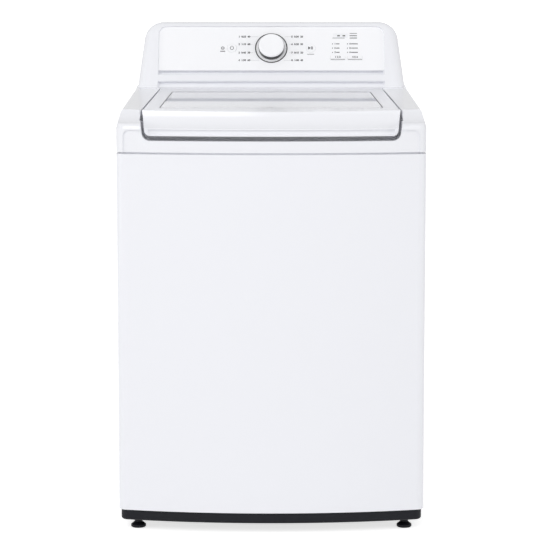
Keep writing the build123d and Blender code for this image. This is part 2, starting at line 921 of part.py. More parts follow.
with BuildPart() as glass_gasket:
    with BuildSketch(lid_plane.offset(-glass_thickness)):
        add(glass_outline(0))
        add(glass_outline(gasket_width), mode=Mode.SUBTRACT)
    extrude(amount=glass_thickness)
finish(glass_gasket, "glass_gasket")

with BuildPart() as lid_glass:
    with BuildSketch(lid_plane.offset(-glass_thickness)):
        add(glass_outline(gasket_width))
    extrude(amount=glass_thickness)
finish(lid_glass, "lid_glass")

ear_reach = knuckle_width / 2 + ear_gap
hinge_points = [(-knuckle_x, lid_length + hinge_set_back), (knuckle_x, lid_length + hinge_set_back)]
with BuildPart() as lid_hinge_pins:
    with Locations((-knuckle_x, hinge_y, hinge_z), (knuckle_x, hinge_y, hinge_z)):
        Cylinder(pin_radius, 2 * (ear_reach + ear_width), rotation=(0, 90, 0))
finish(lid_hinge_pins, "lid_hinge_pins")

ear_radius = knuckle_radius - ear_gap
with BuildPart() as hinge_brackets:
    for knuckle_side in [-knuckle_x, knuckle_x]:
        for ear_x in [knuckle_side - ear_reach - ear_width, knuckle_side + ear_reach]:
            with BuildSketch(Plane.YZ.offset(ear_x)):
                with Locations((hinge_y, hinge_z)):
                    Circle(ear_radius)
                    Rectangle(2 * ear_radius, over, align=(Align.CENTER, Align.MAX))
            extrude(amount=ear_width)
    split(bisect_by=lid_plane.offset(-well_depth), keep=Keep.TOP)
    with BuildSketch(lid_plane.offset(-well_depth)):
        with Locations(*hinge_points):
            Rectangle(2 * (ear_reach + ear_width), 2.75 * knuckle_radius)
    extrude(amount=hinge_foot)
    with BuildSketch(Plane.YZ.offset(-half_width)):
        with Locations((hinge_y, hinge_z)):
            Circle(pin_radius + shaft_fit)
    extrude(amount=cabinet_width, mode=Mode.SUBTRACT)
finish(hinge_brackets, "hinge_brackets")

bumper_x = lid_front_half - bumper_inset
with BuildPart() as lid_bumpers:
    with BuildSketch(lid_plane.offset(-lid_thickness)):
        with Locations((-bumper_x, bumper_set_back), (bumper_x, bumper_set_back)):
            Circle(bumper_radius)
    extrude(amount=hole_fit - lid_clearance)
finish(lid_bumpers, "lid_bumpers")

with BuildPart() as lid_strike:
    with BuildSketch(lid_plane.offset(-lid_thickness)):
        with Locations((strike_x, strike_set_back)):
            Rectangle(strike_width, strike_depth)
    extrude(amount=-lid_clearance - cover_wall - strike_reach)
finish(lid_strike, "lid_strike")

with BuildPart() as lid_lock:
    with BuildSketch(lid_plane.offset(-well_depth - cover_wall)):
        with Locations((strike_x, strike_set_back)):
            Rectangle(lock_width, lock_depth)
    extrude(amount=-lock_height)
    with BuildSketch(lid_plane.offset(-well_depth - cover_wall)):
        with Locations((strike_x, strike_set_back)):
            Rectangle(strike_width + strike_room, strike_depth + 2 * strike_room)
    extrude(amount=-strike_reach - strike_room, mode=Mode.SUBTRACT)
finish(lid_lock, "lid_lock")

# Detergent drawer and its housing
tray_width = drawer_width + 2 * drawer_fit + 2 * tray_wall
tray_height = drawer_height + 2 * drawer_fit + 2 * tray_wall
tray_length = drawer_depth + tray_tail
with BuildPart() as dispenser_housing:
    with BuildSketch(Plane.XZ.offset(-mouth_back - cover_wall)):
        with Locations((drawer_x, tray_top - tray_height / 2)):
            Rectangle(tray_width, tray_height)
    extrude(amount=-tray_length)
    with BuildSketch(Plane.XZ.offset(-mouth_back - cover_wall)):
        with Locations((drawer_x, tray_top - tray_height / 2)):
            Rectangle(tray_width - 2 * tray_wall, tray_height - 2 * tray_wall)
    extrude(amount=tray_wall - tray_length, mode=Mode.SUBTRACT)
    with BuildSketch(Plane.XZ.offset(-mouth_back - cover_wall)):
        with GridLocations(drawer_width - 5 * runner_width, 0, 2, 1):
            with Locations((drawer_x, drawer_z - drawer_fit)):
                Rectangle(runner_width, drawer_fit - runner_gap, align=(Align.CENTER, Align.MIN))
    extrude(amount=-tray_length)
finish(dispenser_housing, "dispenser_housing")

bay_width = drawer_width / 3
bay_length = drawer_depth - 3 * drawer_wall
with BuildPart() as dispenser_drawer:
    with BuildSketch(Plane.XY.offset(drawer_z)):
        with Locations((drawer_x, mouth_back)):
            Rectangle(drawer_width, drawer_depth, align=(Align.CENTER, Align.MIN))
    extrude(amount=drawer_height)
    with BuildSketch(Plane.XY.offset(drawer_z + drawer_wall)):
        with Locations((drawer_x - bay_width / 2, mouth_back + 2 * drawer_wall)):
            Rectangle(2 * (bay_width - drawer_wall), bay_length, align=(Align.CENTER, Align.MIN))
        with Locations((drawer_x + bay_width, mouth_back + 2 * drawer_wall)):
            Rectangle(bay_width - 2 * drawer_wall, bay_length, align=(Align.CENTER, Align.MIN))
    extrude(amount=drawer_height, mode=Mode.SUBTRACT)
    with BuildSketch(Plane.XZ.offset(-mouth_back)):
        with Locations((drawer_x, drawer_z + drawer_height / 4)):
            SlotOverall(drawer_pull, drawer_pull / 5)
    extrude(amount=-drawer_wall, mode=Mode.SUBTRACT)
finish(dispenser_drawer, "dispenser_drawer")

# Console
board_left = -button_x - board_margin
board_right = key_x + key_pitch + board_margin / 2
board_middle = (board_left + board_right) / 2
post_x = (board_right - board_left) / 2 - 2 * post_radius
post_up = board_height / 2 - 2 * post_radius
floor_set_back = panel_step + panel_thickness + console_wall
with BuildPart() as console_housing:
    add(console_block(0, 0, console_back_y))
    add(console_block(console_wall, floor_set_back, console_back_y + over), mode=Mode.SUBTRACT)
    with BuildSketch(panel_plane.offset(-panel_thickness - groove_depth - console_wall)):
        with Locations((0, -groove_height / 2)):
            Rectangle(2 * panel_half, groove_height + 2 * console_wall)
    extrude(amount=groove_depth + console_wall)
    with BuildSketch(panel_plane.offset(-panel_thickness - channel_depth - console_wall)):
        with Locations((0, channel_middle)):
            Rectangle(2 * panel_half, channel_height + 2 * console_wall)
    extrude(amount=channel_depth + console_wall)
    split(bisect_by=deck_plane, keep=Keep.TOP)
    with BuildSketch(panel_plane.offset(-panel_thickness)):
        add(panel_outline(-over))
    extrude(amount=over, mode=Mode.SUBTRACT)
    with BuildSketch(panel_plane.offset(-panel_thickness)):
        with Locations((0, -groove_height / 2)):
            Rectangle(2 * panel_half - 2 * console_wall, groove_height)
    extrude(amount=-groove_depth, mode=Mode.SUBTRACT)
    with BuildSketch(panel_plane.offset(-panel_thickness)):
        with Locations((0, channel_middle)):
            Rectangle(2 * panel_half - 2 * console_wall, channel_height)
    extrude(amount=-channel_depth, mode=Mode.SUBTRACT)
    with BuildSketch(panel_plane.offset(-panel_thickness)):
        add(panel_cuts(button_fit))
    extrude(amount=-console_wall, mode=Mode.SUBTRACT)
    with BuildSketch(panel_plane.offset(board_w)):
        with Locations((board_middle, knob_up)):
            with GridLocations(2 * post_x, 2 * post_up, 2, 2):
                Circle(post_radius)
    extrude(amount=board_depth - panel_thickness - console_wall / 2)
finish(console_housing, "console_housing")

with BuildPart() as console_back:
    with BuildSketch(Plane.XZ.offset(-console_back_y)):
        add(console_outline(console_wall + hole_fit))
    extrude(amount=back_plate)
    split(bisect_by=deck_plane.offset(hole_fit), keep=Keep.TOP)
finish(console_back, "console_back")

with BuildPart() as console_trim:
    with BuildSketch(panel_plane.offset(-panel_thickness)):
        with Locations((0, trim_top)):
            Rectangle(2 * panel_half, trim_height, align=(Align.CENTER, Align.MAX))
    extrude(amount=panel_thickness + trim_proud)
    outer_face = console_trim.faces().sort_by(Axis(panel_plane.origin, panel_plane.z_dir))[-1]
    fillet(outer_face.edges().filter_by(Axis.X), trim_round)
finish(console_trim, "console_trim")

with BuildPart() as control_panel:
    with BuildSketch(panel_plane.offset(-panel_thickness)):
        add(panel_outline(0))
        add(panel_cuts(button_fit), mode=Mode.SUBTRACT)
        with Locations((display_x, display_up)):
            Rectangle(display_width, display_height, mode=Mode.SUBTRACT)
        with Locations(*lens_points()):
            Circle(lens_radius, mode=Mode.SUBTRACT)
    extrude(amount=panel_thickness)
finish(control_panel, "control_panel")

with BuildPart() as display_window:
    with BuildSketch(panel_plane.offset(-panel_thickness)):
        with Locations((display_x, display_up)):
            Rectangle(display_width, display_height)
    extrude(amount=panel_thickness)
finish(display_window, "display_window")

with BuildPart() as indicator_lenses:
    with BuildSketch(panel_plane.offset(-panel_thickness)):
        with Locations(*lens_points()):
            Circle(lens_radius)
    extrude(amount=panel_thickness + lens_rise)
finish(indicator_lenses, "indicator_lenses")

with BuildPart() as dial_ring:
    with BuildSketch(panel_plane):
        with Locations((0, knob_up)):
            Circle(ring_radius)
            Circle(ring_radius - ring_width, mode=Mode.SUBTRACT)
    extrude(amount=ring_height)
finish(dial_ring, "dial_ring")

# Cycle knob, drawn about its own axis
knob_plane = Plane(panel_plane.from_local_coords((0, knob_up, 0)), panel_plane.x_dir, panel_plane.z_dir)
knob_axis = Axis(knob_plane.origin, knob_plane.z_dir)
knob_section = Plane(knob_plane.origin, knob_plane.x_dir, -knob_plane.y_dir)
knob_side = knob_height - knob_round
with BuildPart() as knob_cap:
    with BuildSketch(knob_section):
        with BuildLine():
            Polyline((shaft_radius, knob_gap), (knob_radius, knob_gap), (knob_radius, knob_side))
            RadiusArc((knob_radius, knob_side), (knob_radius - knob_round, knob_height), -knob_round)
            Polyline(
                (knob_radius - knob_round, knob_height),
                (0, knob_height - knob_dish),
                (0, socket_depth),
                (shaft_radius, socket_depth),
                (shaft_radius, knob_gap),
            )
        make_face()
    revolve(axis=knob_axis)
finish(knob_cap, "knob_cap")

with BuildPart() as knob_band:
    with BuildSketch(knob_section):
        Polygon(
            (knob_radius, knob_gap + band_width / 2),
            (knob_radius + band_width, knob_gap + band_width / 2),
            (knob_radius + band_width, knob_side - 2 * band_width),
            (knob_radius, knob_side - band_width),
        )
    revolve(axis=knob_axis)
finish(knob_band, "knob_band")

with BuildPart() as knob_shaft:
    with BuildSketch(knob_plane.offset(board_w + shaft_stand)):
        Circle(shaft_radius)
    extrude(amount=socket_depth + board_depth - shaft_stand)
finish(knob_shaft, "knob_shaft")

power_button = round_button(button_points()[0])
finish(power_button, "power_button")
start_button = round_button(button_points()[1])
finish(start_button, "start_button")
temperature_key = option_key(key_points()[0])
finish(temperature_key, "temperature_key")
rinse_key = option_key(key_points()[1])
finish(rinse_key, "rinse_key")

with BuildPart() as control_board:
    with BuildSketch(panel_plane.offset(board_w - board_thickness)):
        with Locations((board_middle, knob_up)):
            Rectangle(board_right - board_left, board_height)
    extrude(amount=board_thickness)
finish(control_board, "control_board")

with BuildPart() as encoder:
    with BuildSketch(panel_plane.offset(board_w)):
        with Locations((0, knob_up)):
            Rectangle(encoder_width, encoder_width)
            Circle(shaft_radius + shaft_fit, mode=Mode.SUBTRACT)
    extrude(amount=encoder_height)
finish(encoder, "encoder")

switch_height = board_depth + flange_w - flange_thickness - button_travel - button_fit
with BuildPart() as key_switches:
    with BuildSketch(panel_plane.offset(board_w)):
        with Locations(*button_points(), *key_points()):
            Rectangle(switch_width, switch_width)
    extrude(amount=switch_height)
finish(key_switches, "key_switches")

# Water fittings
valve_y = back_y - hood_wall
with BuildPart() as inlet_valve:
    with BuildSketch(Plane.XZ.offset(-valve_y)):
        with Locations((port_x, port_z)):
            RectangleRounded(port_pitch + valve_height, valve_height, valve_corner)
    extrude(amount=valve_depth)
    with BuildSketch(Plane.XZ.offset(-valve_y)):
        with Locations(*port_points):
            Circle(port_radius)
    extrude(amount=-rear_reach - hood_wall)
    with BuildSketch(Plane.XZ.offset(-back_y - rear_reach)):
        with Locations(*port_points):
            Circle(port_bore)
    extrude(amount=rear_reach + hood_wall + valve_depth / 2, mode=Mode.SUBTRACT)
finish(inlet_valve, "inlet_valve")

valve_side = port_x - port_pitch / 2 - valve_height / 2
tray_side = drawer_x + tray_width / 2
fill_x = tray_side + fill_stand
fill_y = valve_y - valve_depth / 2
tray_inlet_y = mouth_back + drawer_depth - 1.5 * fill_radius
with BuildPart() as fill_hose:
    with BuildLine() as fill_path:
        FilletPolyline(
            (valve_side, fill_y, port_z),
            (fill_x, fill_y, port_z),
            (fill_x, tray_inlet_y, port_z),
            (tray_side, tray_inlet_y, port_z),
            radius=fill_bend,
        )
    with BuildSketch(Plane((valve_side, fill_y, port_z), (0, 1, 0), (-1, 0, 0))):
        Circle(fill_radius)
    sweep()
finish(fill_hose, "fill_hose")

hose_bore = hose_radius - hose_wall
hose_barb = hose_radius + hose_wall
with BuildPart() as drain_outlet:
    with BuildSketch(Plane((outlet_x, back_y, outlet_z), (1, 0, 0), (0, 0, 1))):
        with BuildLine():
            Polyline(
                (hose_bore, -hose_wall),
                (outlet_neck, -hose_wall),
                (outlet_neck, sheet),
                (hose_radius + outlet_flange, sheet),
                (hose_radius + outlet_flange, sheet + flange_plate),
                (hose_barb, sheet + flange_plate),
                (hose_barb, rear_reach),
                (hose_bore, rear_reach),
                (hose_bore, -hose_wall),
            )
        make_face()
    revolve(axis=Axis((outlet_x, back_y, outlet_z), (0, 1, 0)))
finish(drain_outlet, "drain_outlet")

with BuildPart() as cord_gland:
    with BuildSketch(Plane((-outlet_x, back_y, gland_z), (1, 0, 0), (0, 0, 1))):
        with BuildLine():
            Polyline(
                (gland_bore, -gland_neck),
                (gland_radius, -gland_neck),
                (gland_radius, sheet),
                (gland_flange, sheet),
                (gland_flange, sheet + flange_plate),
                (2 * gland_bore, sheet + gland_reach),
                (gland_bore, sheet + gland_reach),
                (gland_bore, -gland_neck),
            )
        make_face()
    revolve(axis=Axis((-outlet_x, back_y, gland_z), (0, 1, 0)))
finish(cord_gland, "cord_gland")

with BuildPart() as drain_pump:
    with BuildSketch(Plane.XY.offset(tub_base - pump_height)):
        with Locations((pump_x, pump_y)):
            Circle(pump_radius)
    extrude(amount=pump_height)
    with BuildSketch(Plane.XZ.offset(-pump_y)):
        with Locations((pump_x, pump_z)):
            Circle(pump_motor_radius)
    extrude(amount=-pump_motor_length)
    with BuildSketch(Plane.YZ.offset(pump_x)):
        with Locations((pump_y, pump_z)):
            Circle(hose_radius)
    extrude(amount=pump_port_length)
finish(drain_pump, "drain_pump")

hose_start_x = pump_x + pump_port_length
with BuildPart() as drain_hose:
    with BuildLine() as drain_path:
        FilletPolyline(
            (hose_start_x, pump_y, pump_z),
            (outlet_x, pump_y, pump_z),
            (outlet_x, outlet_y, pump_z),
            (outlet_x, outlet_y, outlet_z),
            (outlet_x, back_y - hose_wall, outlet_z),
            radius=(hose_bend, hose_bend, hose_exit_bend),
        )
    with BuildSketch(Plane((hose_start_x, pump_y, pump_z), (0, 1, 0), (1, 0, 0))):
        Circle(hose_radius)
    sweep()
finish(drain_hose, "drain_hose")

# Suspension
wall_x = half_width - sheet
bracket_reach = wall_x - rod_x + bracket_tail
with BuildPart() as corner_brackets:
    for side in [-1, 1]:
        for rod_y in [-rod_x, rod_x]:
            with BuildSketch(Plane.XZ.offset(-rod_y - bracket_width / 2)):
                with Locations((side * (wall_x - bracket_plate / 2), bracket_z + bracket_plate)):
                    Rectangle(bracket_plate, bracket_height, align=(Align.CENTER, Align.MAX))
                with Locations((side * (wall_x - bracket_reach / 2), bracket_z)):
                    Rectangle(bracket_reach, bracket_plate, align=(Align.CENTER, Align.MIN))
            extrude(amount=bracket_width)
    with BuildSketch(Plane.XY.offset(bracket_z)):
        with Locations(*rod_points):
            Circle(socket_radius)
    extrude(amount=bracket_plate, mode=Mode.SUBTRACT)
finish(corner_brackets, "corner_brackets")

socket_bore = rod_radius + button_fit
socket_low = bracket_z - socket_skirt
socket_top = bracket_z + socket_rise
with BuildPart() as socket:
    with BuildSketch(Plane.XZ):
        Polygon(
            (socket_bore, socket_low),
            (socket_radius, socket_low),
            (socket_radius, bracket_z + bracket_plate),
            (socket_flange, bracket_z + bracket_plate),
            (socket_radius, socket_top),
            (socket_bore, socket_top),
        )
    revolve(axis=Axis.Z)
with BuildPart() as rod_sockets:
    with Locations(*rod_points):
        add(socket.part)
finish(rod_sockets, "rod_sockets")

with BuildPart() as rod:
    with BuildSketch(Plane.XZ):
        Polygon(
            (0, cup_z - rod_foot),
            (rod_head, cup_z - rod_foot),
            (rod_head, cup_z + rod_seat),
            (rod_radius, cup_z + rod_seat),
            (rod_radius, socket_top),
            (2 * rod_radius, socket_top),
            (2 * rod_radius, socket_top + rod_foot),
            (rod_radius, socket_top + rod_foot + rod_radius),
            (0, socket_top + rod_foot + rod_radius),
        )
    revolve(axis=Axis.Z)
with BuildPart() as suspension_rods:
    with Locations(*rod_points):
        add(rod.part)
finish(suspension_rods, "suspension_rods")

cup_bore = cup_radius - cup_wall
with BuildPart() as cup:
    with BuildSketch(Plane.XZ):
        Polygon(
            (cup_bore, cup_z),
            (cup_radius, cup_z),
            (cup_radius, lug_rise),
            (rod_radius + rod_room, lug_rise),
            (rod_radius + rod_room, lug_rise - cup_lid),
            (cup_bore, lug_rise - cup_lid),
        )
    revolve(axis=Axis.Z)
with BuildPart() as damper_cups:
    with Locations(*rod_points):
        add(cup.part)
finish(damper_cups, "damper_cups")

with BuildPart() as suspension_springs:
    with BuildSketch(Plane.XY.offset(cup_z + rod_seat)):
        with Locations(*rod_points):
            Circle(spring_radius)
            Circle(spring_radius - spring_wall, mode=Mode.SUBTRACT)
    extrude(amount=cup_length - rod_seat - cup_lid)
finish(suspension_springs, "suspension_springs")

# Tub
with BuildPart() as outer_tub:
    with BuildSketch(Plane.XZ):
        with BuildLine():
            Polyline(
                (seal_radius, tub_base),
                (tub_outer - tub_bevel, tub_base),
                (tub_outer, tub_base + tub_bevel),
                (tub_outer, tub_top),
                (tub_radius, tub_top),
                (tub_radius, tub_floor + tub_bevel),
                (tub_radius - tub_bevel, tub_floor),
                (seal_radius, tub_floor),
                (seal_radius, tub_base),
            )
        make_face()
    revolve(axis=Axis.Z)
    with BuildSketch(Plane.XY.offset(tub_base + 2 * tub_bevel)):
        with PolarLocations(tub_outer + tub_rib / 3, 12, start_angle=15):
            Rectangle(tub_rib, tub_rib)
    extrude(amount=tub_height - 4 * tub_bevel)
    with BuildSketch(Plane.XY.offset(lug_rise)):
        with PolarLocations(tub_outer - tub_wall / 2, 4, start_angle=45):
            Rectangle(rod_offset + cup_radius + tub_wall, lug_width, align=(Align.MIN, Align.CENTER))
        with PolarLocations(rod_circle, 4, start_angle=45):
            Circle(rod_radius + rod_room, mode=Mode.SUBTRACT)
    extrude(amount=lug_thickness)
    with BuildSketch(Plane.XY.offset(lug_rise + lug_thickness)):
        with PolarLocations(tub_outer - tub_wall / 2, 4, start_angle=45):
            Rectangle(rod_offset - 4 * rod_radius, lug_web, align=(Align.MIN, Align.CENTER))
    extrude(amount=lug_gusset)
    with BuildSketch(Plane.XY.offset(tub_base)):
        with Locations((pump_x, pump_y)):
            Circle(sump_radius)
    extrude(amount=tub_floor_wall, mode=Mode.SUBTRACT)
finish(outer_tub, "outer_tub")

tub_cover_top = tub_top + tub_cover_rise
tub_cover_hole = ring_hole + tub_cover_lip
with BuildPart() as tub_ring:
    with BuildSketch(Plane.XZ):
        Polygon(
            (tub_cover_hole, tub_cover_top),
            (tub_outer + cover_wall, tub_cover_top),
            (tub_outer + cover_wall, tub_top - tub_cover_skirt),
            (tub_outer, tub_top - tub_cover_skirt),
            (tub_outer, tub_top),
            (tub_radius - tub_wall / 2, tub_top),
            (tub_radius - tub_wall / 2, tub_cover_top - cover_wall),
            (tub_cover_hole, tub_cover_top - cover_wall),
        )
    revolve(axis=Axis.Z)
finish(tub_ring, "tub_ring")

shoulder_z = stator_z + stator_height
with BuildPart() as bearing_housing:
    with BuildSketch(Plane.XZ):
        Polygon(
            (bearing_radius, hub_base),
            (hub_radius, hub_base),
            (hub_radius, shoulder_z),
            (hub_radius + hub_shoulder, shoulder_z),
            (hub_radius + hub_shoulder, tub_base - 2 * hub_plate),
            (hub_flange, tub_base - hub_plate),
            (hub_flange, tub_base),
            (bearing_radius, tub_base),
        )
    revolve(axis=Axis.Z)
finish(bearing_housing, "bearing_housing")

with BuildPart() as spin_bearings:
    for bearing_z in [hub_base + bearing_inset, tub_base - bearing_width - bearing_inset]:
        with BuildSketch(Plane.XY.offset(bearing_z)):
            Circle(bearing_radius)
            Circle(spin_radius + shaft_fit, mode=Mode.SUBTRACT)
        extrude(amount=bearing_width)
finish(spin_bearings, "spin_bearings")

with BuildPart() as tub_seal:
    with BuildSketch(Plane.XY.offset(tub_base)):
        Circle(seal_radius)
        Circle(spin_radius + seal_lip, mode=Mode.SUBTRACT)
    extrude(amount=seal_height)
finish(tub_seal, "tub_seal")

yoke_radius = stator_radius - tooth_length
tooth_face = math.sqrt(stator_radius**2 - (tooth_head / 2) ** 2)
with BuildPart() as stator:
    with BuildSketch(Plane.XY.offset(stator_z)):
        Circle(yoke_radius)
        with PolarLocations(yoke_radius - tooth_tip / 2, stator_teeth):
            Rectangle(tooth_length, tooth_width, align=(Align.MIN, Align.CENTER))
        with PolarLocations(tooth_face - tooth_tip, stator_teeth):
            Rectangle(tooth_tip, tooth_head, align=(Align.MIN, Align.CENTER))
        Circle(yoke_radius - yoke_width, mode=Mode.SUBTRACT)
    extrude(amount=stator_height)
    with BuildSketch(Plane.XY.offset(shoulder_z - stator_web)):
        Circle(yoke_radius)
        Circle(hub_radius + hole_fit, mode=Mode.SUBTRACT)
    extrude(amount=stator_web)
finish(stator, "stator")

# Basket and spin shaft
hub_top = basket_base_z + base_hub_rise
with BuildPart() as spin_shaft:
    with BuildSketch(Plane.XY.offset(hub_base + bearing_inset / 2)):
        Circle(spin_radius)
        Circle(wash_radius + shaft_fit, mode=Mode.SUBTRACT)
    extrude(amount=hub_top - hub_base - bearing_inset / 2)
finish(spin_shaft, "spin_shaft")

base_low = basket_base_z - base_plate / 3
base_high = base_low + base_plate
with BuildPart() as basket_base:
    with BuildSketch(Plane.XZ):
        Polygon(
            (spin_radius, basket_base_z - base_hub_drop),
            (base_hub, basket_base_z - base_hub_drop),
            (base_hub + base_flare, base_low),
            (basket_radius, base_low),
            (basket_radius, basket_base_z + base_rim),
            (basket_radius - base_wall, basket_base_z + base_rim),
            (basket_radius - 2 * base_wall, base_high),
            (base_hub + base_flare, base_high),
            (base_hub, hub_top),
            (spin_radius, hub_top),
        )
    revolve(axis=Axis.Z)
finish(basket_base, "basket_base")

with BuildPart() as basket_wall:
    with BuildSketch(Plane.XY.offset(basket_base_z)):
        Circle(basket_radius + basket_sheet)
        Circle(basket_radius, mode=Mode.SUBTRACT)
    extrude(amount=basket_height)
finish(basket_wall, "basket_wall")

balance_top = basket_top + balance_height
with BuildPart() as balance_ring:
    with BuildSketch(Plane.XZ):
        Polygon(
            (ring_hole, basket_top),
            (basket_radius + balance_lip, basket_top),
            (basket_radius + balance_lip, balance_top),
            (ring_hole + balance_bevel, balance_top),
            (ring_hole, balance_top - balance_bevel),
        )
    revolve(axis=Axis.Z)
finish(balance_ring, "balance_ring")

# Pulsator, wash shaft and rotor
with BuildPart() as pulsator:
    with BuildSketch(Plane.XZ):
        Polygon(
            (wash_radius, pulsator_z),
            (pulsator_radius - pulsator_bevel, pulsator_z),
            (pulsator_radius, pulsator_z + pulsator_bevel),
            (pulsator_radius, pulsator_z + pulsator_rim),
            (pulsator_radius - pulsator_bevel, pulsator_z + 1.5 * pulsator_plate),
            (2 * cap_radius, pulsator_z + pulsator_plate),
            (1.3 * cap_radius, pulsator_top),
            (wash_radius, pulsator_top),
        )
    revolve(axis=Axis.Z)
    with BuildSketch(Plane.XY.offset(pulsator_z + pulsator_bevel)):
        with PolarLocations(pulsator_radius - fin_inset, fin_count):
            SlotOverall(fin_length, fin_width)
    extrude(amount=fin_height, taper=fin_draft)
finish(pulsator, "pulsator")

with BuildPart() as pulsator_cap:
    with BuildSketch(Plane.XZ):
        Polygon(
            (0, pulsator_top),
            (cap_radius, pulsator_top),
            (0.75 * cap_radius, pulsator_top + 0.7 * cap_rise),
            (0, pulsator_top + cap_rise),
        )
    revolve(axis=Axis.Z)
finish(pulsator_cap, "pulsator_cap")

with BuildPart() as wash_shaft:
    with BuildSketch(Plane.XY.offset(rotor_z)):
        Circle(wash_radius)
    extrude(amount=pulsator_top - rotor_z)
finish(wash_shaft, "wash_shaft")

rotor_plate_z = rotor_z + rotor_floor
rotor_outer = rotor_inner + rotor_wall
rotor_rim_z = shoulder_z + rotor_floor / 2
with BuildPart() as rotor:
    with BuildSketch(Plane.XZ):
        Polygon(
            (wash_radius, rotor_z),
            (rotor_hub, rotor_z),
            (rotor_hub, rotor_plate_z),
            (rotor_outer, rotor_plate_z),
            (rotor_outer, rotor_rim_z),
            (rotor_inner, rotor_rim_z),
            (rotor_inner, rotor_plate_z + rotor_floor),
            (rotor_hub, rotor_plate_z + rotor_floor),
            (rotor_hub, rotor_z + rotor_hub_rise),
            (wash_radius, rotor_z + rotor_hub_rise),
        )
    revolve(axis=Axis.Z)
    with BuildSketch(Plane.XY.offset(rotor_plate_z)):
        with PolarLocations(rotor_hole_circle, rotor_holes):
            Circle(rotor_hole_radius)
    extrude(amount=rotor_floor, mode=Mode.SUBTRACT)
finish(rotor, "rotor")
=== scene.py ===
import json
import math

import bmesh
import bpy
from mathutils import Matrix, Vector


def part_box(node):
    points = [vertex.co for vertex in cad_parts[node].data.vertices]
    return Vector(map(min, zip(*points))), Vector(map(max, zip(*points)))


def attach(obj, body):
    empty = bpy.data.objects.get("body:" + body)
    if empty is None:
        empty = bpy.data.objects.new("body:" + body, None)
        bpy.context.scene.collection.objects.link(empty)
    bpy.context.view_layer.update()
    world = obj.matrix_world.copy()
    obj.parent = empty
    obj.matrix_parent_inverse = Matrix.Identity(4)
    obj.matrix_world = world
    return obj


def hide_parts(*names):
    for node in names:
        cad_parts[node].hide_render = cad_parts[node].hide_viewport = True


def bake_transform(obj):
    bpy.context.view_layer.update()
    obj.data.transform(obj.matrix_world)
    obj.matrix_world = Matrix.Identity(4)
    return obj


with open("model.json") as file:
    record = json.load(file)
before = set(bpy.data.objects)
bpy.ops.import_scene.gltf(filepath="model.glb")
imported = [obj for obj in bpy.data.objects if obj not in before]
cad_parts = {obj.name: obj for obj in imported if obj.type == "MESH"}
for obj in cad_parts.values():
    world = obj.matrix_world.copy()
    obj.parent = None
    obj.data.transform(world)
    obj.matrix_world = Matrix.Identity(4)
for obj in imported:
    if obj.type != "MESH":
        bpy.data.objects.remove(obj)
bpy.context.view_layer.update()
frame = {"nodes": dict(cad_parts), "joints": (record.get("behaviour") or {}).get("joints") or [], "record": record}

# Camera, matched to a 550 by 550 picture
IMAGE_SIZE = 550
CAMERA_DISTANCE = 5.328
CAMERA_HEIGHT = 1.211
CAMERA_PITCH = 7.18
FOCAL_PIXELS = 2275
CENTRE_PIXEL = 271.3
SENSOR_WIDTH = 36.0
VIEW_LIMIT = 5000.0

# Studio
FLOOR_SIZE = 4000.0
FLOOR_SHADE = 0.8
FLOOR_ROUGHNESS = 0.9
FLOOR_GLOW = 0.7
WORLD_FILL = 0.55
LAMP_SIZE = 8.0
SIDE_SIZE = 2.0
KEY_POWER = 820.0
FILL_POWER = 190.0
SIDE_POWER = 100.0
KEY_PLACE = (-5.0, -13.0, 9.4)
FILL_PLACE = (6.0, -14.0, 6.2)
SIDE_PLACE = (8.85, -2.9, 2.0)
LAMP_AIM = (0.0, 0.0, 0.6)

# Finishes: how far the roughness varies, how deep the grain is, and the crystals of the zinc
ROUGHNESS_SPREAD = 0.15
NOISE_DETAIL = 3.0
GRAIN_DEPTH = 0.0002
CRYSTAL_SCALE = 90.0
CRYSTAL_DARK = 0.88
CRYSTAL_LIGHT = 1.08

# Printed marks on the panel, in metres from the knob's centre: across, then up
PRINT_LIFT = 0.00006
PRINT_DEPTH = 0.00005
PRINT_SIZE = 0.0066
PRINT_WEIGHT = 0.0003
SMALL_PRINT = 0.006
TEXT_STEPS = 2
ARC_STEPS = 32
FULL_TURN = 360.0
LINE_WIDTH = 0.0013
NOTE_WIDTH = 0.0021
DASH_WIDTH = 0.0032

# Labels beside the knob, with their leader lines
CYCLE_MINUTES = (55, 70, 45, 90, 30, 20, 15, 60)
CYCLE_DEGREES = (40, 60, 30, 60, 20, 30, 20, 40)
LABEL_ROWS = (0.0306, 0.0103, -0.0125, -0.0327)
LABEL_LEFT = -0.080
LABEL_RIGHT = 0.0775
LABEL_LENGTH = 0.0245
LEADER_GAP = 0.003
LEADER_WIDTH = 0.00035
LEADER_RADIUS = 0.0425

# Display and indicator lenses
LENS_COLUMNS = (0.1495, 0.1861)
LENS_ROWS = (0.0114, 0.0, -0.0114)
LENS_FIRST = (1, 4)
LENS_LABEL = 0.0045
LENS_BAR = 0.0085
LENS_BARS = (0.0085, 0.0165)
DISPLAY_ROW = 0.0333
DISPLAY_DIGITS = (0.1645, 0.1775)
DISPLAY_PITCH = 0.0062
DISPLAY_LINE = 0.03
DISPLAY_NOTES = 0.2005
NOTE_LENGTH = 0.018
DASH_LENGTH = 0.0064

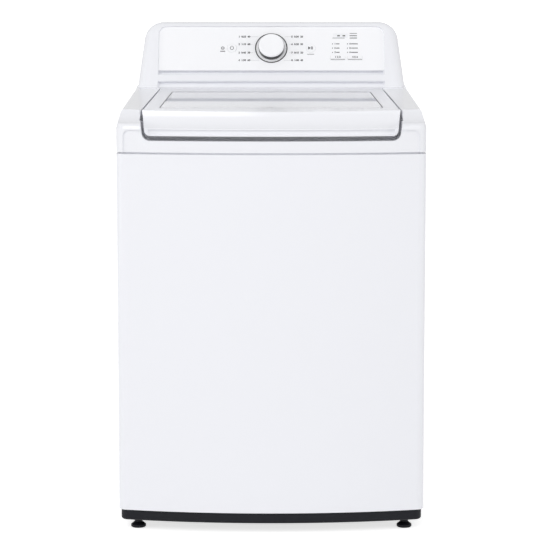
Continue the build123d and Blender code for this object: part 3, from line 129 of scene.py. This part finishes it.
# Keys, round buttons and signs
KEY_COLUMNS = (0.162, 0.204)
KEY_TEXTS = ("1 2 3", "4 5 6")
KEY_ROW = -0.0257
KEY_TEXT_RISE = 0.0015
KEY_LINE = 0.034
KEY_LINE_DROP = 0.0045
KEY_RISE = 0.0005
BUTTON_ACROSS = 0.096
BUTTON_RISE = 0.0008
BUTTON_NOTE = -0.0165
BUTTON_LINE = 0.017
POWER_RADIUS = 0.0048
POWER_BAR = 0.004
POWER_START = 120.0
POWER_SWEEP = 300.0
PLAY_BACK = -0.0036
PLAY_TIP = 0.003
PLAY_HALF = 0.0042
PLAY_SHIFT = 0.0025
PAUSE_STEPS = (0.0018, 0.0046)
PAUSE_WIDTH = 0.0016
PAUSE_HEIGHT = 0.008
SIGN_ACROSS = -0.1185
SIGN_RADIUS = 0.0042
SIGN_BAR = 0.004
SIGN_NOTE = -0.0085
SIGN_LINE = 0.012

# Mesh cleaning: points closer than this are one, and edges sharper than this many degrees stay crisp
MERGE_DISTANCE = 0.000001
CRISP_ANGLE = 30.0

# Rear fixings: sizes in metres, the flange and the hexagon as shares of the whole screw
SCREW_RADIUS = 0.0052
SCREW_RISE = 0.0032
SCREW_INSET = 0.011
FLANGE_RISE = 0.4
FLANGE_TOP = 0.9
FLANGE_STEPS = 24
HEXAGON_RADIUS = 0.66
HEXAGON_TOP = 0.86
HEXAGON_SIDES = 6
PANEL_SCREWS = 5
CONSOLE_SCREWS = 5
CONSOLE_SPREAD = 0.9

# Inlet threads: the crest and the flank end as shares of the pitch
THREAD_PITCH = 0.0022
THREAD_RISE = 0.0006
THREAD_SINK = 0.0002
THREAD_TURNS = 5
THREAD_STEPS = 32
CREST_START = 0.4
CREST_END = 0.55
FLANK_END = 0.95

# Wall and holes of the wash basket
WALL_THICKNESS = 0.0012
PLAIN_BAND = 0.03
HOLE_COLUMNS = 64
HOLE_ROWS = 22
HOLE_RADIUS = 0.0028
HOLE_SIDES = 8

# Springs: the coil's shape
COIL_TURNS = 7
COIL_STEPS = 24
WIRE_SIDES = 8


def material(
    name, colour, roughness, metallic=0.0, tint=0.02, grain=0.0, scale=800.0, stretch=(1, 1, 1), **sockets
):
    """A principled finish: a fine noise varies its colour and roughness and raises its grain."""
    made = bpy.data.materials.new(name)
    made.use_nodes = True
    nodes = made.node_tree.nodes
    links = made.node_tree.links
    shader = nodes["Principled BSDF"]
    shader.inputs["Metallic"].default_value = metallic
    for socket, value in sockets.items():
        shader.inputs[socket.replace("_", " ")].default_value = value
    place = nodes.new("ShaderNodeTexCoord")
    spread = nodes.new("ShaderNodeMapping")
    spread.inputs["Scale"].default_value = stretch
    noise = nodes.new("ShaderNodeTexNoise")
    noise.inputs["Scale"].default_value = scale
    noise.inputs["Detail"].default_value = NOISE_DETAIL
    links.new(place.outputs["Object"], spread.inputs["Vector"])
    links.new(spread.outputs["Vector"], noise.inputs["Vector"])
    shade = nodes.new("ShaderNodeMix")
    shade.data_type = "RGBA"
    shade.inputs["A"].default_value = (*[channel * (1 - tint) for channel in colour], 1.0)
    shade.inputs["B"].default_value = (*[min(1.0, channel * (1 + tint)) for channel in colour], 1.0)
    links.new(noise.outputs["Fac"], shade.inputs["Factor"])
    links.new(shade.outputs["Result"], shader.inputs["Base Color"])
    polish = nodes.new("ShaderNodeMapRange")
    polish.inputs["To Min"].default_value = roughness * (1 - ROUGHNESS_SPREAD)
    polish.inputs["To Max"].default_value = min(1.0, roughness * (1 + ROUGHNESS_SPREAD))
    links.new(noise.outputs["Fac"], polish.inputs["Value"])
    links.new(polish.outputs["Result"], shader.inputs["Roughness"])
    if grain:
        bump = nodes.new("ShaderNodeBump")
        bump.inputs["Strength"].default_value = grain
        bump.inputs["Distance"].default_value = GRAIN_DEPTH
        links.new(noise.outputs["Fac"], bump.inputs["Height"])
        links.new(bump.outputs["Normal"], shader.inputs["Normal"])
    return made


def galvanised(name, colour, roughness):
    """Zinc coated sheet with the crystal pattern of its coating."""
    made = material(name, colour, roughness, metallic=0.85, tint=0.04, grain=0.05, scale=300)
    nodes = made.node_tree.nodes
    links = made.node_tree.links
    place = nodes.new("ShaderNodeTexCoord")
    crystal = nodes.new("ShaderNodeTexVoronoi")
    crystal.inputs["Scale"].default_value = CRYSTAL_SCALE
    shade = nodes.new("ShaderNodeMix")
    shade.data_type = "RGBA"
    shade.inputs["A"].default_value = (*[channel * CRYSTAL_DARK for channel in colour], 1.0)
    shade.inputs["B"].default_value = (*[channel * CRYSTAL_LIGHT for channel in colour], 1.0)
    links.new(place.outputs["Object"], crystal.inputs["Vector"])
    links.new(crystal.outputs["Color"], shade.inputs["Factor"])
    links.new(shade.outputs["Result"], nodes["Principled BSDF"].inputs["Base Color"])
    return made


finishes = {
    "cabinet_enamel": material(
        "cabinet_enamel", (0.89, 0.897, 0.94), 0.3, tint=0.006, grain=0.05, scale=420, Coat_Weight=0.25
    ),
    "white_plastic": material("white_plastic", (0.89, 0.897, 0.935), 0.18, tint=0.006, grain=0.02),
    # control_white: whiter than white_plastic partly as the overlay's own tone and partly as painted light, for
    # the extra light the tilted panel catches
    "control_white": material("control_white", (0.965, 0.97, 0.995), 0.22, tint=0.004, grain=0.015),
    "black_plastic": material(
        "black_plastic", (0.007, 0.0075, 0.011), 0.5, tint=0.1, grain=0.15, Specular_IOR_Level=0.2
    ),
    "grey_plastic": material("grey_plastic", (0.42, 0.44, 0.46), 0.45, tint=0.03, grain=0.1),
    "tub_plastic": material("tub_plastic", (0.62, 0.63, 0.64), 0.5, tint=0.03, grain=0.1),
    "dark_rubber": material("dark_rubber", (0.03, 0.03, 0.032), 0.6, tint=0.1, grain=0.2),
    "grey_rubber": material("grey_rubber", (0.07, 0.072, 0.078), 0.55, tint=0.05, grain=0.1),
    "stainless": material(
        "stainless", (0.84, 0.845, 0.855), 0.32,
        metallic=0.75, tint=0.05, grain=0.06, scale=60, stretch=(1, 1, 30),
    ),
    "zinc_steel": galvanised("zinc_steel", (0.6, 0.61, 0.62), 0.42),
    "cast_aluminium": material("cast_aluminium", (0.6, 0.6, 0.61), 0.45, metallic=1.0, tint=0.05, grain=0.2),
    "motor_iron": material("motor_iron", (0.12, 0.12, 0.13), 0.55, metallic=0.6, tint=0.1, grain=0.2),
    # chrome_trim: the near-black colour of the knob's band is a painted dark reflection and painted shade under
    # the knob's cap, not the colour of bright chrome
    "chrome_trim": material("chrome_trim", (0.045, 0.046, 0.05), 0.18, metallic=0.9, tint=0.02),
    "dial_grey": material("dial_grey", (0.012, 0.0125, 0.015), 0.4, tint=0.05, Specular_IOR_Level=0.2),
    "display_grey": material("display_grey", (0.91, 0.916, 0.945), 0.15, tint=0.01),
    "board_green": material("board_green", (0.03, 0.14, 0.07), 0.4, tint=0.1, grain=0.1),
    "lid_glass": material(
        "lid_glass", (0.9, 0.905, 0.92), 0.03, tint=0.004, Transmission_Weight=0.88, IOR=1.5, Coat_Weight=1.0
    ),
}
print_ink = material("print_ink", (0.04, 0.04, 0.045), 0.5, tint=0.05)
pale_ink = material("pale_ink", (0.2, 0.2, 0.21), 0.5, tint=0.04)

slots = {entry["node"]: entry["material_slot"] for entry in frame["record"]["subparts"]}
for name, slot in slots.items():
    node = frame["nodes"][name]
    node.data.materials.clear()
    node.data.materials.append(finishes[slot])

joints = {joint["name"]: joint for joint in frame["joints"]}


def add_piece(name, mesh_data, body, finish):
    """Turns a bmesh into a piece that rides on a body."""
    bmesh.ops.remove_doubles(mesh_data, verts=mesh_data.verts, dist=MERGE_DISTANCE)
    bmesh.ops.dissolve_degenerate(mesh_data, edges=mesh_data.edges, dist=MERGE_DISTANCE)
    bmesh.ops.recalc_face_normals(mesh_data, faces=mesh_data.faces)
    mesh = bpy.data.meshes.new(name)
    mesh_data.to_mesh(mesh)
    mesh_data.free()
    mesh.polygons.foreach_set("use_smooth", [True] * len(mesh.polygons))
    mesh.set_sharp_from_angle(angle=math.radians(CRISP_ANGLE))
    mesh.materials.append(finish)
    piece = bpy.data.objects.new(name, mesh)
    bpy.context.collection.objects.link(piece)
    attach(piece, body)
    return piece


knob_centre = Vector(joints["knob_turn"]["pos_m"])
panel_out = Vector(joints["knob_turn"]["axis"]).normalized()
panel_across = Vector((1.0, 0.0, 0.0))
panel_up = panel_out.cross(panel_across)


def on_panel(across, up, lift):
    """A point on the panel, measured from the knob's centre."""
    return knob_centre + panel_across * across + panel_up * up + panel_out * lift


def panel_frame(across, up, lift):
    """A frame that lies on the panel at a point."""
    axes = Matrix((panel_across, panel_up, panel_out)).transposed().to_4x4()
    return Matrix.Translation(on_panel(across, up, lift)) @ axes


def add_slab(marks, corners, place):
    """A thin printed shape from its corners, lying in a frame."""
    lower = [marks.verts.new(place @ Vector((x, y, 0.0))) for x, y in corners]
    upper = [marks.verts.new(place @ Vector((x, y, PRINT_DEPTH))) for x, y in corners]
    marks.faces.new(upper)
    marks.faces.new(lower[::-1])
    for index in range(len(corners)):
        following = (index + 1) % len(corners)
        marks.faces.new((lower[index], lower[following], upper[following], upper[index]))


def add_bar(marks, across, up, width, height, lift=PRINT_LIFT):
    """A printed bar round a centre."""
    half_w, half_h = width / 2, height / 2
    corners = [(-half_w, -half_h), (half_w, -half_h), (half_w, half_h), (-half_w, half_h)]
    add_slab(marks, corners, panel_frame(across, up, lift))


def add_arc(marks, across, up, radius, width, start=0.0, sweep=FULL_TURN, lift=PRINT_LIFT):
    """A printed ring or part of one."""
    place = panel_frame(across, up, lift)
    inner = radius - width
    whole = sweep == FULL_TURN
    sections = []
    for step in range(ARC_STEPS if whole else ARC_STEPS + 1):
        angle = math.radians(start + sweep * step / ARC_STEPS)
        out = Vector((math.cos(angle), math.sin(angle), 0.0))
        rise = Vector((0.0, 0.0, PRINT_DEPTH))
        corners = (out * inner, out * radius, out * radius + rise, out * inner + rise)
        sections.append([marks.verts.new(place @ corner) for corner in corners])
    for section, following in zip(sections, sections[1:] + sections[:1] if whole else sections[1:]):
        for index, corner in enumerate(section):
            beside = (index + 1) % len(section)
            marks.faces.new((corner, section[beside], following[beside], following[index]))
    if not whole:
        marks.faces.new(sections[0])
        marks.faces.new(sections[-1][::-1])


def add_text(marks, text, across, up, size, align="LEFT", lift=PRINT_LIFT):
    """Plain numbers on the panel."""
    letters = bpy.data.curves.new("letters", "FONT")
    letters.body = text
    letters.size = size
    letters.align_x = align
    letters.align_y = "CENTER"
    letters.resolution_u = TEXT_STEPS
    letters.offset = PRINT_WEIGHT
    letters.extrude = PRINT_DEPTH / 2
    holder = bpy.data.objects.new("letters", letters)
    shape = bpy.data.meshes.new_from_object(holder)
    shape.transform(panel_frame(across, up, lift + PRINT_DEPTH / 2))
    marks.from_mesh(shape)
    bpy.data.objects.remove(holder)
    bpy.data.curves.remove(letters)
    bpy.data.meshes.remove(shape)


def leader_end(up):
    """How far from the knob's centre a leader line stops."""
    return math.sqrt(max(LEADER_RADIUS**2 - up**2, 0.0)) + LEADER_GAP


def make_dial_print():
    """Numbers, minutes and degrees beside the knob, with leader lines to its ring."""
    marks = bmesh.new()
    leaders = bmesh.new()
    labels = []
    for number, (time, heat) in enumerate(zip(CYCLE_MINUTES, CYCLE_DEGREES), start=1):
        labels.append(f"{number}  {time // 60}:{time % 60:02}  {heat}")
    for index, up in enumerate(LABEL_ROWS):
        stop = leader_end(up)
        add_text(marks, labels[index], LABEL_LEFT, up, PRINT_SIZE)
        add_text(marks, labels[index + len(LABEL_ROWS)], LABEL_RIGHT, up, PRINT_SIZE, align="RIGHT")
        for side, reach in ((-1, -LABEL_LEFT), (1, LABEL_RIGHT)):
            start = reach - LABEL_LENGTH
            add_bar(leaders, side * (start + stop) / 2, up, start - stop, LEADER_WIDTH)
    add_piece("dial_print", marks, "cabinet", print_ink)
    add_piece("dial_leaders", leaders, "cabinet", pale_ink)


def make_status_print():
    """Display dashes, scales beside the indicator lenses and signs beside the buttons."""
    marks = bmesh.new()
    for across in DISPLAY_DIGITS:
        add_bar(marks, across, DISPLAY_ROW, DASH_LENGTH, DASH_WIDTH)
    add_bar(marks, DISPLAY_DIGITS[0], DISPLAY_ROW - DISPLAY_PITCH, DISPLAY_LINE, LINE_WIDTH)
    for across, first, length in zip(LENS_COLUMNS, LENS_FIRST, LENS_BARS):
        for row, up in enumerate(LENS_ROWS):
            add_text(marks, f"{first + row}", across + LENS_LABEL, up, SMALL_PRINT)
            add_bar(marks, across + LENS_BAR + length / 2, up, length, NOTE_WIDTH)
    for row, width in zip((1, 0, -1), (LINE_WIDTH, NOTE_WIDTH, NOTE_WIDTH)):
        add_bar(marks, DISPLAY_NOTES, DISPLAY_ROW + row * DISPLAY_PITCH, NOTE_LENGTH, width)
    add_arc(marks, SIGN_ACROSS, 0.0, SIGN_RADIUS, LINE_WIDTH)
    add_bar(marks, SIGN_ACROSS, 0.0, SIGN_BAR, LINE_WIDTH)
    add_bar(marks, SIGN_ACROSS, SIGN_NOTE, SIGN_LINE, NOTE_WIDTH)
    add_bar(marks, BUTTON_ACROSS, BUTTON_NOTE, BUTTON_LINE, LINE_WIDTH)
    add_piece("status_print", marks, "cabinet", print_ink)


def make_control_marks():
    """Signs on the two round buttons and numbers on the two keys."""
    lift = BUTTON_RISE + PRINT_LIFT
    power = bmesh.new()
    add_arc(power, -BUTTON_ACROSS, 0.0, POWER_RADIUS, LINE_WIDTH, POWER_START, POWER_SWEEP, lift=lift)
    add_bar(power, -BUTTON_ACROSS, POWER_BAR, LINE_WIDTH, POWER_BAR, lift=lift)
    add_piece("power_mark", power, "power_button", print_ink)
    start = bmesh.new()
    triangle = [(PLAY_BACK, -PLAY_HALF), (PLAY_TIP, 0.0), (PLAY_BACK, PLAY_HALF)]
    add_slab(start, triangle, panel_frame(BUTTON_ACROSS - PLAY_SHIFT, 0.0, lift))
    for step in PAUSE_STEPS:
        add_bar(start, BUTTON_ACROSS + step, 0.0, PAUSE_WIDTH, PAUSE_HEIGHT, lift=lift)
    add_piece("start_mark", start, "start_button", print_ink)
    lift = KEY_RISE + PRINT_LIFT
    for body, across, text in zip(("temperature_key", "rinse_key"), KEY_COLUMNS, KEY_TEXTS):
        key = bmesh.new()
        add_text(key, text, across, KEY_ROW + KEY_TEXT_RISE, PRINT_SIZE, align="CENTER", lift=lift)
        add_bar(key, across, KEY_ROW - KEY_LINE_DROP, KEY_LINE, LINE_WIDTH, lift=lift)
        add_piece(body + "_mark", key, body, print_ink)


make_dial_print()
make_status_print()
make_control_marks()


def lathe(shape, profile, place, steps):
    """Turns a profile of radius and height about the axis of a frame."""
    rings = []
    for step in range(steps):
        angle = math.tau * step / steps
        turn = Vector((math.cos(angle), math.sin(angle), 0.0))
        points = [turn * radius + Vector((0, 0, height)) for radius, height in profile]
        rings.append([shape.verts.new(place @ point) for point in points])
    for ring, following in zip(rings, rings[1:] + rings[:1]):
        for index in range(len(profile) - 1):
            shape.faces.new((ring[index], following[index], following[index + 1], ring[index + 1]))


def add_screw(shape, place):
    """A hexagon headed sheet screw with a flange, standing on a surface."""
    flange = SCREW_RISE * FLANGE_RISE
    edge = flange / 2
    face = SCREW_RADIUS * FLANGE_TOP
    foot = [(0, flange), (face, flange), (SCREW_RADIUS, edge), (SCREW_RADIUS, 0), (0, 0)]
    lathe(shape, foot, place, FLANGE_STEPS)
    hexagon = SCREW_RADIUS * HEXAGON_RADIUS
    crown = hexagon * HEXAGON_TOP
    shoulder = SCREW_RISE - edge
    head = [(0, SCREW_RISE), (crown, SCREW_RISE), (hexagon, shoulder), (hexagon, flange), (0, flange)]
    lathe(shape, head, place, HEXAGON_SIDES)


def rear_frame(x, y, z):
    """A frame that looks out of the back."""
    return Matrix.Translation((x, y, z)) @ Matrix.Rotation(math.radians(-90), 4, "X")


def make_rear_screws():
    """Screws round the rear panel and along the console's back plate."""
    low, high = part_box("rear_panel")
    screws = bmesh.new()
    span = high.z - low.z - 2 * SCREW_INSET
    for step in range(PANEL_SCREWS):
        z = low.z + SCREW_INSET + span * step / (PANEL_SCREWS - 1)
        for x in (low.x + SCREW_INSET, high.x - SCREW_INSET):
            add_screw(screws, rear_frame(x, high.y, z))
    for side in (-1, 1):
        x = side * high.x / 3
        add_screw(screws, rear_frame(x, high.y, low.z + SCREW_INSET))
        add_screw(screws, rear_frame(x, high.y, high.z - SCREW_INSET))
    low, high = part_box("console_back")
    last = CONSOLE_SCREWS // 2
    for step in range(-last, last + 1):
        x = step / last * (high.x * CONSOLE_SPREAD - SCREW_INSET)
        add_screw(screws, rear_frame(x, high.y, low.z + SCREW_INSET))
        if abs(step) < last:
            add_screw(screws, rear_frame(x, high.y, high.z - SCREW_INSET))
    add_piece("rear_screws", screws, "cabinet", finishes["zinc_steel"])


def make_inlet_threads():
    """Thread ridges on the two water inlets."""
    mounts = {mount["name"]: mount for mount in frame["record"]["mounts"]}
    end_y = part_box("inlet_valve")[1].y
    threads = bmesh.new()
    for name in ("cold_inlet", "hot_inlet"):
        x, _, z = mounts[name]["pos_m"]
        radius = mounts[name]["dims"]["r_mm"] / 1000
        start = end_y - THREAD_PITCH * (THREAD_TURNS + 0.5)
        for turn in range(THREAD_TURNS):
            foot = turn * THREAD_PITCH
            profile = [
                (radius - THREAD_SINK, foot),
                (radius + THREAD_RISE, foot + THREAD_PITCH * CREST_START),
                (radius + THREAD_RISE, foot + THREAD_PITCH * CREST_END),
                (radius - THREAD_SINK, foot + THREAD_PITCH * FLANK_END),
            ]
            lathe(threads, [*profile[::-1], profile[-1]], rear_frame(x, start, z), THREAD_STEPS)
    add_piece("inlet_threads", threads, "cabinet", finishes["tub_plastic"])


make_rear_screws()
make_inlet_threads()


def make_basket_wall():
    """The basket's steel wall with its drain holes, in place of the plain one."""
    low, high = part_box("basket_wall")
    outer = high.x
    inner = outer - WALL_THICKNESS
    row_height = (high.z - low.z - 2 * PLAIN_BAND) / HOLE_ROWS
    wall = bmesh.new()

    def spot(radius, angle, z):
        return wall.verts.new((radius * math.cos(angle), radius * math.sin(angle), z))

    cell_angle = math.tau / HOLE_COLUMNS
    half_height = row_height / 2
    half_arc = inner * cell_angle / 2
    for column in range(HOLE_COLUMNS):
        for row in range(HOLE_ROWS):
            shift = 0.5 if row % 2 else 0.0
            middle = (column + shift) * cell_angle
            z = low.z + PLAIN_BAND + (row + 0.5) * row_height
            ring = []
            for side in range(HOLE_SIDES):
                turn = math.tau * side / HOLE_SIDES
                along, up = math.cos(turn), math.sin(turn)
                reach = 1 / max(abs(along), abs(up))
                edge = (along * reach * half_arc, up * reach * half_height)
                hole = (along * HOLE_RADIUS, up * HOLE_RADIUS)
                points = [(radius, *point) for radius in (inner, outer) for point in (edge, hole)]
                ring.append([spot(radius, middle + arc / inner, z + rise) for radius, arc, rise in points])
            for this, following in zip(ring, ring[1:] + ring[:1]):
                wall.faces.new((this[1], this[0], following[0], following[1]))
                wall.faces.new((this[2], this[3], following[3], following[2]))
                wall.faces.new((this[3], this[1], following[1], following[3]))
    for step in range(HOLE_COLUMNS * 2):
        first = step * cell_angle / 2
        second = first + cell_angle / 2
        for bottom, top in ((low.z, low.z + PLAIN_BAND), (high.z - PLAIN_BAND, high.z)):
            for radius, flip in ((inner, 1), (outer, -1)):
                corners = ((first, top), (first, bottom), (second, bottom), (second, top))
                wall.faces.new([spot(radius, angle, z) for angle, z in corners][::-flip])
        for z, flip in ((low.z, 1), (high.z, -1)):
            rim = ((inner, first), (outer, first), (outer, second), (inner, second))
            wall.faces.new([spot(radius, angle, z) for radius, angle in rim][::-flip])
    piece = add_piece("basket_steel", wall, "basket", finishes["stainless"])
    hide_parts("basket_wall")


make_basket_wall()


def add_flexing(name, mesh, node_name):
    """A piece in place of a plain part, with its place baked into the mesh."""
    piece = bpy.data.objects.new(name, mesh)
    bpy.context.collection.objects.link(piece)
    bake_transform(piece)
    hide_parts(node_name)


def add_coil(coils, centre, radius, wire, bottom, top):
    """One coil spring: a round wire wound up from a bottom to a top height."""
    rings = []
    for step in range(COIL_TURNS * COIL_STEPS + 1):
        angle = math.tau * step / COIL_STEPS
        out = Vector((math.cos(angle), math.sin(angle), 0.0))
        height = bottom + wire + (top - bottom - 2 * wire) * step / (COIL_TURNS * COIL_STEPS)
        middle = Vector((centre.x, centre.y, height)) + out * radius
        turns = [math.tau * side / WIRE_SIDES for side in range(WIRE_SIDES)]
        offsets = [out * math.cos(turn) + Vector((0, 0, math.sin(turn))) for turn in turns]
        rings.append([coils.verts.new(middle + wire * offset) for offset in offsets])
    for ring, following in zip(rings, rings[1:]):
        for side in range(WIRE_SIDES):
            beside = (side + 1) % WIRE_SIDES
            coils.faces.new((ring[beside], ring[side], following[side], following[beside]))
    coils.faces.new(rings[0])
    coils.faces.new(rings[-1][::-1])


def make_springs():
    """Coil springs in place of the plain sleeves."""
    low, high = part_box("suspension_springs")
    spots = [vertex.co for vertex in frame["nodes"]["suspension_springs"].data.vertices]
    coils = bmesh.new()
    for across, along in ((-1, -1), (1, -1), (1, 1), (-1, 1)):
        sleeve = [spot for spot in spots if spot.x * across > 0 and spot.y * along > 0]
        inner_x = min(abs(spot.x) for spot in sleeve)
        inner_y = min(abs(spot.y) for spot in sleeve)
        centre = Vector((across * (inner_x + high.x) / 2, along * (inner_y + high.y) / 2, 0.0))
        reach = [(Vector((spot.x, spot.y, 0.0)) - centre).length for spot in sleeve]
        wire = (max(reach) - min(reach)) / 2
        add_coil(coils, centre, max(reach) - wire, wire, low.z, high.z)
    mesh = bpy.data.meshes.new("coil_springs")
    coils.to_mesh(mesh)
    coils.free()
    mesh.polygons.foreach_set("use_smooth", [True] * len(mesh.polygons))
    mesh.materials.append(finishes[slots["suspension_springs"]])
    add_flexing("coil_springs", mesh, "suspension_springs")


make_springs()
add_flexing("drain_tube", frame["nodes"]["drain_hose"].data.copy(), "drain_hose")


def make_camera():
    """A long lens in front of the machine, above it and tilted down."""
    data = bpy.data.cameras.new("camera")
    data.sensor_width = SENSOR_WIDTH
    data.lens = FOCAL_PIXELS / IMAGE_SIZE * SENSOR_WIDTH
    data.shift_x = (IMAGE_SIZE / 2 - CENTRE_PIXEL) / IMAGE_SIZE
    data.clip_end = VIEW_LIMIT
    camera = bpy.data.objects.new("camera", data)
    bpy.context.collection.objects.link(camera)
    camera.location = (0.0, -CAMERA_DISTANCE, CAMERA_HEIGHT)
    camera.rotation_euler = (math.radians(90 - CAMERA_PITCH), 0.0, 0.0)
    bpy.context.scene.camera = camera


def area_light(name, size, power, place, aim):
    """A soft square lamp aimed at a point."""
    data = bpy.data.lights.new(name, "AREA")
    data.shape = "SQUARE"
    data.size = size
    data.energy = power
    lamp = bpy.data.objects.new(name, data)
    bpy.context.collection.objects.link(lamp)
    lamp.location = place
    lamp.rotation_euler = (Vector(aim) - Vector(place)).to_track_quat("-Z", "Y").to_euler()


def seen_rays(nodes, links):
    """One for rays that the eye follows: straight, mirrored or through glass."""
    path = nodes.new("ShaderNodeLightPath")
    mirrored = nodes.new("ShaderNodeMath")
    mirrored.operation = "MAXIMUM"
    seen = nodes.new("ShaderNodeMath")
    seen.operation = "MAXIMUM"
    links.new(path.outputs["Is Camera Ray"], mirrored.inputs[0])
    links.new(path.outputs["Is Glossy Ray"], mirrored.inputs[1])
    links.new(mirrored.outputs["Value"], seen.inputs[0])
    links.new(path.outputs["Is Transmission Ray"], seen.inputs[1])
    return seen.outputs["Value"]


def make_floor():
    """A wide pale floor that looks white and keeps the shadow."""
    bpy.ops.mesh.primitive_plane_add(size=FLOOR_SIZE, location=(0.0, 0.0, 0.0))
    floor = bpy.context.object
    floor.name = "floor"
    made = bpy.data.materials.new("floor")
    made.use_nodes = True
    nodes = made.node_tree.nodes
    links = made.node_tree.links
    shader = nodes["Principled BSDF"]
    shader.inputs["Base Color"].default_value = (FLOOR_SHADE, FLOOR_SHADE, FLOOR_SHADE, 1.0)
    shader.inputs["Roughness"].default_value = FLOOR_ROUGHNESS
    shader.inputs["Specular IOR Level"].default_value = 0.0
    glow = nodes.new("ShaderNodeEmission")
    share = nodes.new("ShaderNodeMath")
    share.operation = "MULTIPLY"
    share.inputs[1].default_value = FLOOR_GLOW
    both = nodes.new("ShaderNodeAddShader")
    links.new(seen_rays(nodes, links), share.inputs[0])
    links.new(share.outputs["Value"], glow.inputs["Strength"])
    links.new(shader.outputs["BSDF"], both.inputs[0])
    links.new(glow.outputs["Emission"], both.inputs[1])
    links.new(both.outputs["Shader"], nodes["Material Output"].inputs["Surface"])
    floor.data.materials.append(made)


def make_world():
    """Even pale light, white behind the machine."""
    world = bpy.data.worlds.new("studio")
    world.use_nodes = True
    nodes = world.node_tree.nodes
    links = world.node_tree.links
    fill = nodes["Background"]
    fill.inputs["Color"].default_value = (1.0, 1.0, 1.0, 1.0)
    fill.inputs["Strength"].default_value = WORLD_FILL
    white = nodes.new("ShaderNodeBackground")
    white.inputs["Strength"].default_value = 1.0
    mix = nodes.new("ShaderNodeMixShader")
    links.new(seen_rays(nodes, links), mix.inputs["Fac"])
    links.new(fill.outputs["Background"], mix.inputs[1])
    links.new(white.outputs["Background"], mix.inputs[2])
    links.new(mix.outputs["Shader"], nodes["World Output"].inputs["Surface"])
    bpy.context.scene.world = world


def make_lights():
    """A key and a weaker fill far in front, and a small lamp on each side."""
    area_light("key", LAMP_SIZE, KEY_POWER, KEY_PLACE, LAMP_AIM)
    area_light("fill", LAMP_SIZE, FILL_POWER, FILL_PLACE, LAMP_AIM)
    across, along, height = SIDE_PLACE
    for side in (-1, 1):
        area_light("side", SIDE_SIZE, SIDE_POWER, (side * across, along, height), LAMP_AIM)


make_camera()
make_floor()
make_world()
make_lights()
bpy.context.scene.view_settings.view_transform = "Standard"
